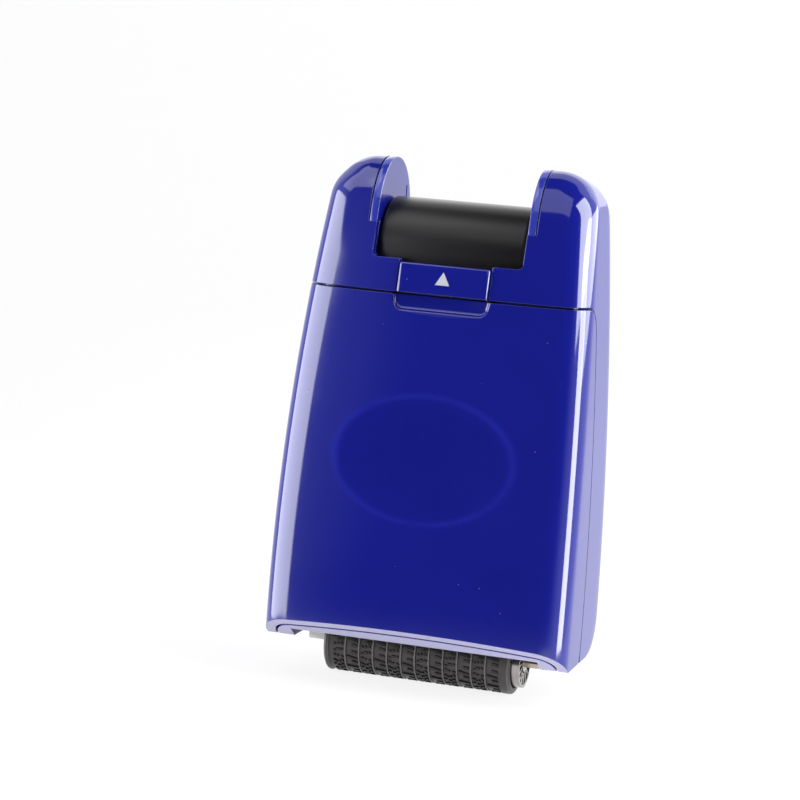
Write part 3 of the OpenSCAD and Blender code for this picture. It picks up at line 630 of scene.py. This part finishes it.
# %% Front cover
def cross_rod(name, r, w, y, h):
    bm = bmesh.new()
    turn = Matrix.Translation(place(0, y, h)) @ Matrix.Rotation(math.pi / 2, 4, "Y")
    bmesh.ops.create_cone(bm, cap_ends=True, segments=32, radius1=r * MM, radius2=r * MM,
                          depth=w * MM, matrix=turn)
    return make(bm, name)


cover = wrapped("front_cover_shell", 0.0, 0.0, SEAM_H + 1, dished=True)
carve(cover, side_prism("cover_side", cover_side(0.0, True)), how="INTERSECT")
carve(cover, wrapped("core", WALL, -1.0, SEAM_H + 2), toe_prism(), scoop_tool(),
      cross_rod("bore", HINGE_PIN + RUN_FIT, 2 * (half_w(HINGE_H) - HINGE_SKIN), HINGE_Y, HINGE_H))
settle(cover, "cover", "blue_plastic", cover_abs, "front_cover")

# %% [markdown]
# ## Rear housing
#
# The housing is the rest of the form: the back, both horns and the band above the seam. The notch
# between the horns is wider above a step, where the cheek plates lie in the cut. A slot in the band
# takes the latch, and a lip behind the seam keeps light and dust out.

# %% Notch, slot and lip
NOTCH_W, NOTCH_LOW, NOTCH_CORNER = 23.6, 59.7, 0.8
CHEEK_T, CHEEK_SLIT, CHEEK_STEP, CHEEK_LOW, CHEEK_FIT = 1.1, 0.3, 64.85, 57.0, 0.2
HORN_IN = NOTCH_W / 2 + CHEEK_T + CHEEK_SLIT
LATCH_W, LATCH_LOW, LATCH_TOP, LATCH_PROUD, LATCH_GAP = 14.2, 54.85, 59.3, 0.35, 0.2
LATCH_H = (LATCH_LOW + LATCH_TOP) / 2
RIB_W, RIB_Y, RIB_T = 0.6, 0.55, 0.4
SLOT_X, SLOT_OVER = LATCH_W / 2 + LATCH_GAP, 10.0
LIP_W, LIP_T, LIP_FIT, LIP_BITE, LIP_LOW = 1.4, 0.5, 0.3, 0.3, 22.3


def notch_prism():
    r, half = NOTCH_CORNER, NOTCH_W / 2
    right = arc(half - r, NOTCH_LOW + r, r, -90, 0, 6) + [
        (half, CHEEK_STEP), (HORN_IN, CHEEK_STEP), (HORN_IN, BODY_H + 5)]
    shape = right + [(-x, h) for x, h in reversed(right)]
    return prism("notch", [place(x, -PAST, h) for x, h in shape], (0, 2 * PAST * MM, 0))


def face_block(name, half, y_low, y_high):
    """A block on the front face at the latch, which runs past the latch above and below."""
    bm = bmesh.new()
    size = Matrix.Diagonal((2 * half * MM, (y_high - y_low) * MM, 2 * SLOT_OVER * MM, 1))
    middle = Matrix.Translation((0, (y_low + y_high) / 2 * MM, 0))
    bmesh.ops.create_cube(bm, size=1, matrix=face_frame(LATCH_H) @ middle @ size)
    return make(bm, name)


def seam_lip():
    """The lip grows from the housing's wall and runs behind the edge of the cover."""
    high = SEAM_H + 2 * LIP_W
    root_part = wrapped("seam_lip", WALL - LIP_BITE, LIP_LOW, high)
    carve(root_part, side_prism("band", cover_side(SEAM_GAP + LIP_W, False)), how="INTERSECT")
    carve(root_part, side_prism("band", cover_side(SEAM_GAP, False)))
    lip = wrapped("lip", WALL + LIP_FIT, LIP_LOW, high)
    carve(lip, side_prism("band", cover_side(SEAM_GAP + LIP_W / 2, False)), how="INTERSECT")
    carve(lip, side_prism("band", cover_side(-LIP_W, False)))
    carve(root_part, lip, how="UNION")
    carve(root_part, wrapped("core", WALL + LIP_FIT + LIP_T, LIP_LOW - 1, high + 1),
          face_block("gap", SLOT_X + 2 * RIB_W, -SLOT_OVER, SLOT_OVER))
    return root_part


print("horns begin", round(HORN_IN, 2), "mm from the middle")

# %% Rear housing
housing = wrapped("rear_housing_shell", 0.0, 0.0, grid_top())
carve(housing, wrapped("core", WALL, -1.0, grid_top(WALL)),
      side_prism("cover_side", cover_side(SEAM_GAP, False)), notch_prism(),
      face_block("slot", SLOT_X, -WALL, 2 * WALL),
      face_block("groove", SLOT_X + RIB_W, RIB_Y - LATCH_GAP, RIB_Y + RIB_T + LATCH_GAP))
carve(housing, seam_lip(), how="UNION")
settle(housing, "housing", "blue_plastic", blue_abs, "rear_housing")

# %% [markdown]
# ## Cheek plates
#
# Thin plates close the inner sides of the horns. Their edge follows the arch above the step, where
# it lies flush with the horn, and runs behind the wall below it. The edge is broken by a small
# bevel, as on any moulded plate, and a narrow inset keeps its shading off the flat sides. A narrow
# guide slot near the rear edge of the inner face shows above the key.

# %% Cheek plates
GUIDE_Y, GUIDE_W, GUIDE_LOW, GUIDE_TOP, GUIDE_DEEP, GUIDE_OVER = 10.1, 0.5, 66.0, 69.8, 0.6, 0.2
PLATE_T = CHEEK_T + 0.12  # a little more than in the CAD, so that the slit is as fine as it looks
PLATE_BEVEL, SHADE_INSET = 0.14, 0.05
BIG_FACE = 1e-5  # ten square millimetres, in square metres


def guide_slot(inner, outward):
    front, back = GUIDE_Y - GUIDE_W / 2, GUIDE_Y + GUIDE_W / 2
    corners = [(front, GUIDE_LOW), (back, GUIDE_LOW), (back, GUIDE_TOP), (front, GUIDE_TOP)]
    return prism("slot", [place(inner - GUIDE_OVER * outward, y, h) for y, h in corners],
                 ((GUIDE_DEEP + GUIDE_OVER) * outward * MM, 0, 0))


def cheek_points():
    """Side view of a plate: behind the wall below the step, flush with the horn above it."""
    x = NOTCH_W / 2 + CHEEK_T
    low = [CHEEK_LOW + (CHEEK_STEP - CHEEK_LOW) * n / 6 for n in range(7)]
    heights = [(h, WALL + CHEEK_FIT) for h in low]
    heights += [(h, 0.0) for h in rows(0.0, CHEEK_STEP, grid_top())]
    front = [(front_y(h, inset) + crown_bend(h) * x * x / 2, h) for h, inset in heights]
    return front + [(rear_y(h, inset), h) for h, inset in reversed(heights)]


def rounded(bm, edges, radius, segments):
    bmesh.ops.bevel(bm, geom=edges, offset=radius * MM, segments=segments, profile=0.5,
                    affect="EDGES", material=-1)


def across_edges(bm):
    """Edges that lie in one plane across the body."""
    return [e for e in bm.edges if len({round(v.co.x, 6) for v in e.verts}) == 1]


for side, outward in (("left", -1), ("right", 1)):
    inner = outward * NOTCH_W / 2
    plate = prism(side + "_cheek_plate", [place(inner, y, h) for y, h in cheek_points()],
                  (PLATE_T * outward * MM, 0, 0))
    bm = bmesh.new()
    bm.from_mesh(plate.data)
    rounded(bm, across_edges(bm), PLATE_BEVEL, 2)
    flats = [f for f in bm.faces if abs(f.normal.x) > 0.999 and f.calc_area() > BIG_FACE]
    bmesh.ops.inset_region(bm, faces=flats, thickness=SHADE_INSET * MM, use_even_offset=True)
    bm.to_mesh(plate.data)
    bm.free()
    carve(plate, guide_slot(inner, outward))
    settle(plate, "housing", "blue_plastic", cheek_abs, side + "_cheek", crease=40)

# %% [markdown]
# ## Latch
#
# The latch is a small slide in the band, proud of the face. Its left and right edges are well
# rounded, so it is a flat outline with two round corners, extruded up the face. The top edge is
# rounded less, by a bevel, and a narrow inset keeps the shading of these edges off the flat face.
# Ribs on both ends run in grooves of the slot.

# %% Latch
LATCH_T, LATCH_ROUND, LATCH_BEVEL = 1.6, 0.5, 0.3
LATCH_L = (LATCH_TOP - LATCH_LOW) / math.cos(face_lean(LATCH_H))
front, back, r = -LATCH_PROUD, LATCH_T - LATCH_PROUD, LATCH_ROUND
shape = (arc(r - LATCH_W / 2, front + r, r, 180, 270, 8)
         + arc(LATCH_W / 2 - r, front + r, r, 270, 360, 8)
         + [(LATCH_W / 2, back), (-LATCH_W / 2, back)])
latch = prism("latch_slide_button", [Vector((x, y, -LATCH_L / 2)) * MM for x, y in shape],
              (0, 0, LATCH_L * MM))
bm = bmesh.new()
bm.from_mesh(latch.data)
top = [e for e in bm.edges if all(v.co.z > 0 and v.co.y < (back - 0.1) * MM for v in e.verts)]
rounded(bm, top, LATCH_BEVEL, 4)
plain = [f for f in bm.faces if f.normal.y < -0.999 and f.calc_area() > BIG_FACE]
bmesh.ops.inset_region(bm, faces=plain, thickness=SHADE_INSET * MM)
for end in (-1, 1):
    rib_size = Matrix.Diagonal((2 * RIB_W * MM, RIB_T * MM, (LATCH_L - 2 * RIB_W) * MM, 1))
    rib_at = Matrix.Translation((end * LATCH_W / 2 * MM, (RIB_Y + RIB_T / 2) * MM, 0))
    bmesh.ops.create_cube(bm, size=1, matrix=rib_at @ rib_size)
bmesh.ops.transform(bm, matrix=face_frame(LATCH_H), verts=bm.verts)
bm.to_mesh(latch.data)
bm.free()
settle(latch, "latch", "blue_plastic", blue_abs, "latch_button", crease=40)

# %% [markdown]
# ## Key
#
# The key is a hollow black moulding: a barrel on top to press on, and a straight skirt that stays
# between the cheeks over the whole travel. Two legs stand on the carriage's bridge.

# %% Key
KEY_W, KEY_TOP, KEY_LOW, KEY_EDGE, KEY_PLAY = 23.0, 68.5, 50.0, 0.7, 0.35
KEY_WALL, KEY_HOLLOW = 1.6, 13.0
KEY_FRONT = front_y(NOTCH_LOW, WALL) + crown_bend(NOTCH_LOW) * (NOTCH_W / 2) ** 2 / 2 + KEY_PLAY
KEY_REAR = rear_y(NOTCH_LOW, WALL) - KEY_PLAY
KEY_R, KEY_Y = (KEY_REAR - KEY_FRONT) / 2, (KEY_REAR + KEY_FRONT) / 2
shape = [(KEY_REAR, KEY_LOW)] + arc(KEY_Y, KEY_TOP - KEY_R, KEY_R, 0, 180, 56)
shape += [(KEY_FRONT, KEY_LOW)]

key = side_prism("press_key_barrel", shape, KEY_W / 2)
bm = bmesh.new()
bm.from_mesh(key.data)
low_z = place(0, 0, KEY_LOW).z
ends = [e for e in across_edges(bm) if any(v.co.z > low_z + 1e-6 for v in e.verts)]
rounded(bm, ends, KEY_EDGE, 5)
under = [f for f in bm.faces if f.normal.z < -0.9 and f.calc_center_median().z < low_z + 1e-5]
bmesh.ops.inset_region(bm, faces=under, thickness=KEY_WALL * MM, use_even_offset=True)
hollow = bmesh.ops.extrude_face_region(bm, geom=under)["geom"]
bmesh.ops.delete(bm, geom=under, context="FACES")
bmesh.ops.translate(bm, verts=[g for g in hollow if isinstance(g, bmesh.types.BMVert)],
                    vec=(0, 0, KEY_HOLLOW * MM))
bmesh.ops.recalc_face_normals(bm, faces=bm.faces)

BRIDGE_TOP, LEG_TOP, LEG_X, LEG_W, LEG_D, LEG_ROUND = 33.0, 63.5, 4.748, 3.4, 4.5, 0.4
for end in (-1, 1):
    leg_size = Matrix.Diagonal((LEG_W * MM, LEG_D * MM, (LEG_TOP - BRIDGE_TOP) * MM, 1))
    leg_at = Matrix.Translation(place(end * LEG_X, KEY_Y, (LEG_TOP + BRIDGE_TOP) / 2))
    leg = bmesh.ops.create_cube(bm, size=1, matrix=leg_at @ leg_size)["verts"]
    uprights = [e for e in bm.edges if e.verts[0] in leg and e.verts[1] in leg
                and abs(e.verts[0].co.z - e.verts[1].co.z) > 0.01]
    rounded(bm, uprights, LEG_ROUND, 3)
bm.to_mesh(key.data)
bm.free()
settle(key, "carriage", "black_plastic", black_abs, "press_key", crease=35)

# %% [markdown]
# ## Printing sleeve
#
# A rubber sleeve carries raised rings with small marks between them. The sleeve and its rings are
# one outline spun round the axle, with a bead at the left end that reaches over its cap, a smooth
# collar at the right end and a seat for a cap in each. The marks are a piece of their own, because
# ink has turned them black. They are short bars laid on the sleeve in columns: long strokes in one
# column, a fine jumble in the next.

# %% Printing sleeve
SLEEVE_L, CORE_R, CAP_T, CAP_SEAT, CAP_BORE = 28.591, 3.6, 1.3, 1.0, 4.25
COLLAR_W, COLLAR_ROUND, RINGS, RING_W, RING_SLOPE = 1.55, 0.5, 11, 0.22, 0.08
RING_PITCH = (SLEEVE_L - COLLAR_W) / (RINGS + 1)


def sleeve_outline():
    """Outline of the sleeve as distances along the axle and radii, left to right."""
    end, left, r = SLEEVE_L / 2, SLEEVE_L / 2 + CAP_T, COLLAR_ROUND
    points = [(CAP_SEAT - end, CORE_R), (CAP_SEAT - end, CAP_BORE), (-left, CAP_BORE)]
    points += arc(r - left, STAMP_R - r, r, 180, 30, 10)
    for n in range(1, RINGS + 1):
        x = n * RING_PITCH - end
        points += [(x - RING_W / 2 - RING_SLOPE, BASE_R), (x - RING_W / 2, RING_R),
                   (x + RING_W / 2, RING_R), (x + RING_W / 2 + RING_SLOPE, BASE_R)]
    points += [(end - COLLAR_W - RING_SLOPE, BASE_R), (end - COLLAR_W, STAMP_R)]
    points += arc(end - r, STAMP_R - r, r, 90, 0, 6)
    return points + [(end, CAP_BORE), (end - CAP_SEAT, CAP_BORE), (end - CAP_SEAT, CORE_R)]


def spun(bm, points, h, steps=96):
    """Spins an outline of distances and radii round an axle across the body."""
    ring = [bm.verts.new(place(x, 0, h + r)) for x, r in points]
    edges = [bm.edges.new((ring[i - 1], ring[i])) for i in range(len(ring))]
    bmesh.ops.spin(bm, geom=ring + edges, cent=place(0, 0, h), axis=(1, 0, 0), dvec=(0, 0, 0),
                   angle=2 * math.pi, steps=steps, use_merge=True)
    bmesh.ops.remove_doubles(bm, verts=bm.verts, dist=WELD * MM)
    bmesh.ops.recalc_face_normals(bm, faces=bm.faces)


bm = bmesh.new()
spun(bm, sleeve_outline(), AXIS_H)
settle(make(bm, "printing_sleeve_relief"), "stamp_roller", "stamp_rubber", rubber,
       "printing_sleeve", crease=35)

# %% Raised marks
MARK_LOW, MARK_HIGH, MARK_ROWS = BASE_R - 0.08, STAMP_R - 0.02, 32


def stroke_column(dice):
    """Marks as place along the column, angle, length, width and tilt: mostly long strokes."""
    marks = []
    for n in range(MARK_ROWS):
        turn = 2 * math.pi * (n + dice.uniform(-0.12, 0.12)) / MARK_ROWS
        kind = dice.choice(("long", "long", "right", "pair", "left"))
        if kind == "long":
            marks.append((0.0, turn, 1.75, 0.4, dice.uniform(-0.24, -0.1)))
        elif kind == "pair":
            marks += [(-0.45, turn, 0.5, 0.46, 0.3), (0.45, turn, 0.6, 0.42, -0.2)]
        else:
            marks.append((0.38 if kind == "right" else -0.38, turn, 0.95, 0.4, -0.18))
    return marks


def jumble_column(dice):
    """Small marks that lie in every direction."""
    return [(k + dice.uniform(-0.08, 0.08),
             2 * math.pi * (n + dice.uniform(-0.25, 0.25)) / MARK_ROWS,
             dice.uniform(0.36, 0.66), dice.uniform(0.26, 0.38), dice.uniform(-1.1, 1.1))
            for n in range(MARK_ROWS) for k in (-0.62, 0.0, 0.62)]


dice = random.Random(7)
columns = (jumble_column(dice), stroke_column(dice))
bm = bmesh.new()
for column in range(RINGS + 1):
    middle = (column + 0.5) * RING_PITCH - SLEEVE_L / 2
    for k, turn, length, width, tilt in columns[column % 2]:
        at = (Matrix.Translation(place(0, 0, AXIS_H)) @ Matrix.Rotation(turn, 4, "X")
              @ Matrix.Translation(((middle + k) * MM, 0, (MARK_LOW + MARK_HIGH) / 2 * MM))
              @ Matrix.Rotation(tilt, 4, "Z"))
        size = Matrix.Diagonal((length * MM, width * MM, (MARK_HIGH - MARK_LOW) * MM, 1))
        bmesh.ops.create_cube(bm, size=1, matrix=at @ size)
settle(make(bm, "printing_marks"), "stamp_roller", "stamp_rubber", inked_rubber)

# %% [markdown]
# ## Inking roller
#
# A felt roll above the printing sleeve holds the ink. Felt is pressed fibre: soft at its ends, a
# little uneven all over, and matt. It is a spun outline whose skin is moved in and out by chance.
# Its fibres are drawn a quarter of a millimetre wide, coarser than they are, so that they show.

# %% Felt
felt, where = begin("felt_pressed_inked", Base_Color=linear("#15151c"), Roughness=0.95,
                    Sheen_Weight=0.3)
soak = add(felt, "TexNoise", {"Vector": where, "Scale": per_mm(4), "Detail": 2.0})
tint(felt, soak, "#2a2a33")
fibre = add(felt, "TexNoise", {"Vector": where, "Scale": per_mm(0.25), "Detail": 6.0})
connect(felt, Normal=add(felt, "Bump", {"Height": fibre, "Distance": 0.15 * MM, "Strength": 0.8}))
print(felt.name, "has", len(felt.node_tree.nodes), "nodes")

# %% Inking roller
INK_R, INK_CORE_R, INK_L, INK_H = 4.0, 2.2, 27.59, 8.35
FELT_ROUND, FELT_EDGE, FELT_NAP, FELT_FIT = 0.5, 0.6, 0.1, 0.02
FELT_STEP, FELT_ROUGH, FELT_RIM = 0.6, 0.07, 0.2
soft = arc(INK_L / 2 - FELT_ROUND, INK_R - FELT_EDGE, FELT_ROUND, 0, 90, 5)
across = [(INK_L / 2 - 1 - FELT_STEP * n, INK_R - FELT_NAP) for n in range(1, 44)]
profile = soft + across + [(-x, r) for x, r in reversed(soft)] + [
    (-INK_L / 2, INK_CORE_R + FELT_FIT), (INK_L / 2, INK_CORE_R + FELT_FIT)]
bm = bmesh.new()
spun(bm, profile, INK_H)
dice = random.Random(11)
centre = place(0, 0, INK_H)
for v in bm.verts:
    out = Vector((0, v.co.y - centre.y, v.co.z - centre.z))
    if out.length > (INK_R - FELT_ROUND) * MM:
        v.co += out.normalized() * dice.uniform(-FELT_ROUGH, FELT_ROUGH) * MM
skin = [v for v in bm.verts if abs(v.co.x) < (INK_L / 2 - FELT_RIM) * MM
        and (v.co - centre).yz.length > (INK_R - FELT_ROUND) * MM]
bmesh.ops.smooth_vert(bm, verts=skin, factor=0.3, use_axis_x=True, use_axis_y=True,
                      use_axis_z=True)
settle(make(bm, "ink_felt_roll"), "ink_roller", "ink_felt", felt, "ink_felt", crease=60)

# %% [markdown]
# ## Return springs
#
# Two steel springs lift the carriage when the key is let go. Each is a small circle screwed up
# round the guide rod. With the key pressed they are short, and they are made at that length,
# between the shelf and the bridge; the real ones stretch as the carriage rises.

# %% Return springs
ROD_X, SHELF_TOP, BRIDGE_LOW = 9.4955, 21.95, 30.0
SPRING_R, WIRE_R, TURNS, SEAT_GAP = 1.75, 0.25, 7, 0.1
SPRING_LOW, SPRING_HIGH = SHELF_TOP + WIRE_R + SEAT_GAP, BRIDGE_LOW - WIRE_R - SEAT_GAP
STEPS = 24 * TURNS
for side, x in (("left", -ROD_X), ("right", ROD_X)):
    bm = bmesh.new()
    start = place(x + SPRING_R, 0, SPRING_LOW)
    upright = Matrix.Translation(start) @ Matrix.Rotation(math.pi / 2, 4, "X")
    bmesh.ops.create_circle(bm, cap_ends=True, segments=10, radius=WIRE_R * MM, matrix=upright)
    bmesh.ops.spin(bm, geom=bm.verts[:] + bm.edges[:] + bm.faces[:], cent=place(x, 0, SPRING_LOW),
                   axis=(0, 0, 1), dvec=(0, 0, (SPRING_HIGH - SPRING_LOW) / STEPS * MM),
                   angle=2 * math.pi * TURNS, steps=STEPS, use_merge=False)
    bmesh.ops.recalc_face_normals(bm, faces=bm.faces)
    spring = make(bm, side + "_spring_wire")
    spring.data.shade_smooth()
    spring.data.materials.append(steel_z)
    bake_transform(spring)
    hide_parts(side + "_return_spring")
    print(spring.name, "has", len(spring.data.polygons), "faces")

# %% [markdown]
# ## Finishes of the remaining CAD pieces
#
# The frame, carriage, caps, axles, rods, screws and the latch's arrow have the right shape already,
# so they only get their materials.

# %% Finishes of the remaining CAD pieces
finishes = {
    blue_abs: ["inner_frame"],
    pale_print: ["latch_arrow"],
    acetal: ["carriage_frame", "roller_core", "ink_core"],
    plated_caps: ["left_end_cap", "right_end_cap"],
    steel_x: ["cover_hinge_pins", "ink_axle", "frame_screws"],
    steel_z: ["left_guide_rod", "right_guide_rod", "key_screws"],
    plated_brass: ["stamp_axle"],
}
for material, names in finishes.items():
    for name in names:
        nodes[name].data.materials.clear()
        nodes[name].data.materials.append(material)
    print(material.name, "on", ", ".join(names))

# %% [markdown]
# ## Studio
#
# The stamp stands on a pale sweep: a floor that curves up into a wall behind it. A glossy front
# shows the floor before it, so the sweep is laid over a low mound: it is level under the stamp and
# falls away in front and at the sides, where the front then shows the dim room. To the camera and
# in reflections the paper glows at a strength of one, which is white, and it still takes a shadow.

# %% Paper
PAPER_GLOW = 0.85


def paper():
    material, where = begin("paper_sweep_white", Base_Color=linear("#f0f0f0"), Roughness=0.9)
    tooth = add(material, "TexNoise", {"Vector": where, "Scale": per_mm(2), "Detail": 3.0})
    tint(material, tooth, "#f6f6f6")
    path = add(material, "LightPath").node.outputs
    mirrored = add(material, "Math", {0: path["Is Glossy Ray"], 1: path["Is Transmission Ray"]},
                   operation="MAXIMUM")
    seen = add(material, "Math", {0: path["Is Camera Ray"], 1: mirrored}, operation="MAXIMUM")
    share = add(material, "Math", {0: seen, 1: PAPER_GLOW}, operation="MULTIPLY")
    glow = add(material, "Emission", {"Color": linear("#ffffff"), "Strength": 1.0})
    both = add(material, "MixShader", {0: share, 1: shader_of(material).outputs[0], 2: glow})
    surface = material.node_tree.nodes["Material Output"].inputs["Surface"]
    material.node_tree.links.new(both, surface)
    return material


print("paper glows with a share of", PAPER_GLOW)

# %% Floor and backdrop
LEVEL_X, LEVEL_Y, BEND, FALL = 45.0, 40.0, 60.0, math.tan(math.radians(14))
COVE_Y, COVE_R, WALL_TOP = 400, 300, 2000


def fallen(past):
    """How far the mound has dropped this far past its level part."""
    if past <= 0:
        return 0.0
    return FALL * (past ** 2 / (2 * BEND) if past < BEND else past - BEND / 2)


near = [5.0 * n for n in range(9, 22)]
xs = [0.0] + near + [120, 150, 200, 300, 500, 1000, 2000]
xs = [-x for x in reversed(xs[1:])] + xs
ys = [-1200, -600, -300, -200, -150, -120] + [5 - y for y in reversed(near)] + [0, 100, 200, 300]
cove = [math.pi / 2 * n / 16 for n in range(17)]
line = [(y, -fallen(-y - LEVEL_Y)) for y in ys]
line += [(COVE_Y + COVE_R * math.sin(a), COVE_R - COVE_R * math.cos(a)) for a in cove]
line += [(COVE_Y + COVE_R, WALL_TOP)]
bm = bmesh.new()
bmesh.ops.create_grid(bm, x_segments=len(xs) - 1, y_segments=len(line) - 1, size=0.5)
for v in bm.verts:
    x = xs[round((v.co.x + 0.5) * (len(xs) - 1))]
    y, z = line[round((v.co.y + 0.5) * (len(line) - 1))]
    v.co = Vector((x, y, z - fallen(abs(x) - LEVEL_X))) * MM
sweep = make(bm, "paper_sweep")
sweep.data.shade_smooth()
sweep.data.materials.append(paper())
print("sweep of", len(xs), "by", len(line), "points")

# %% [markdown]
# ## Light
#
# Gloss is what the surface mirrors, so each light is placed by the reflection it has to draw: a
# wall of light on the left for the broad band along the rounded edge, a slim one on the right for
# the thin streak, one above that and one behind it for the horn and the side, two dim ones from the
# front and the left for the tops, and a dim one from behind for the edges of the cheek plates. Each
# is given by its direction, its size and how bright it looks. The world is a room that is dim in
# front, where the face mirrors it, and pale on both sides and towards the ground.

# %% Lights
def heading(azimuth, elevation):
    """A direction: degrees to the right of straight ahead of the front, and degrees up."""
    a, e = math.radians(azimuth), math.radians(elevation)
    return Vector((math.sin(a) * math.cos(e), -math.cos(a) * math.cos(e), math.sin(e)))


def soft_light(name, target, azimuth, elevation, distance, width, height, radiance):
    lamp = bpy.data.lights.new(name, "AREA")
    lamp.shape, lamp.size, lamp.size_y = "RECTANGLE", width, height
    lamp.energy = math.pi * width * height * radiance
    holder = bpy.data.objects.new(name, lamp)
    bpy.context.scene.collection.objects.link(holder)
    way = heading(azimuth, elevation)
    holder.location = target + way * distance
    holder.rotation_euler = (-way).to_track_quat("-Z", "Y").to_euler()
    holder.visible_camera = False
    print(name, "gives", round(lamp.energy, 2), "W")


soft_light("left_wall_light", place(-20, -11, 38), -67, 5, 0.5, 0.67, 0.4, 5.5)
soft_light("right_slim_light", place(22, -9, 38), 95, 0, 0.5, 0.19, 0.34, 10)
soft_light("right_high_light", place(22, -7, 62), 90, 34, 0.5, 0.4, 0.42, 7.5)
soft_light("right_rear_light", place(24, 0, 56), 128, 9, 0.5, 0.47, 0.12, 5.5)
soft_light("front_top_light", place(0, -5, 66), -2, 56, 0.8, 0.74, 0.74, 1.0)
soft_light("left_top_light", place(-17, -2, 70), -66, 53, 0.6, 0.44, 0.42, 1.7)
soft_light("rear_top_light", place(0, 8, 40), 180, 27, 0.45, 0.6, 0.32, 1.0)

# %% World
# Each glow has a direction, the cosines from it where it begins and is full, and its strength.
glows = ((heading(-60, 10), 0.76, 0.87, 0.2), (heading(-95, 5), 0.52, 0.9, 0.65),
         (heading(95, -30), 0.5, 0.9, 0.4), (heading(100, 5), 0.6, 0.95, 0.45),
         (heading(0, -90), 0.13, 0.24, 0.6))
world = bpy.data.worlds.new("dim_room")
world.use_nodes = True
aim = add(world, "TexCoord", out="Generated")
room = 0.05
for way, begins, full, strength in glows:
    toward = add(world, "VectorMath", {0: aim, 1: way}, out="Value", operation="DOT_PRODUCT")
    glow = add(world, "MapRange",
               {"Value": toward, "From Min": begins, "From Max": full, "To Max": strength},
               interpolation_type="SMOOTHSTEP")
    room = add(world, "Math", {0: room, 1: glow}, operation="ADD")
background = world.node_tree.nodes["Background"]
background.inputs["Color"].default_value = linear("#dfe3ff")
world.node_tree.links.new(room, background.inputs["Strength"])
bpy.context.scene.world = world
print(world.name, "has", len(glows), "glows")

# %% [markdown]
# ## Camera
#
# The view was worked out from the edges of the body: a long lens, a little to the right and above,
# with the camera turned so that the stamp leans to the right in the picture.

# %% Camera
AZIMUTH, ELEVATION, ROLL = 16.31, 7.935, math.radians(4.081)
DISTANCE, FOCAL_PX, PICTURE = 414.3, 2684.0, 800
AIM = place(-7.48, 0, 37.34)
looking = -heading(AZIMUTH, ELEVATION)
right = heading(AZIMUTH + 90, 0)
up = right.cross(looking)
across_x = right * math.cos(ROLL) + up * math.sin(ROLL)
across_y = up * math.cos(ROLL) - right * math.sin(ROLL)
lens = bpy.data.cameras.new("camera")
lens.sensor_width = 36
lens.lens = lens.sensor_width * FOCAL_PX / PICTURE
lens.clip_start, lens.clip_end = 0.02, 20
camera = bpy.data.objects.new("camera", lens)
bpy.context.scene.collection.objects.link(camera)
turned = Matrix((across_x, across_y, -looking)).transposed().to_4x4()
camera.matrix_world = Matrix.Translation(AIM - looking * DISTANCE * MM) @ turned
bpy.context.scene.camera = camera
bpy.context.scene.view_settings.view_transform = "Standard"
print("lens of", round(lens.lens, 1), "mm at", [round(1000 * v, 1) for v in camera.location])
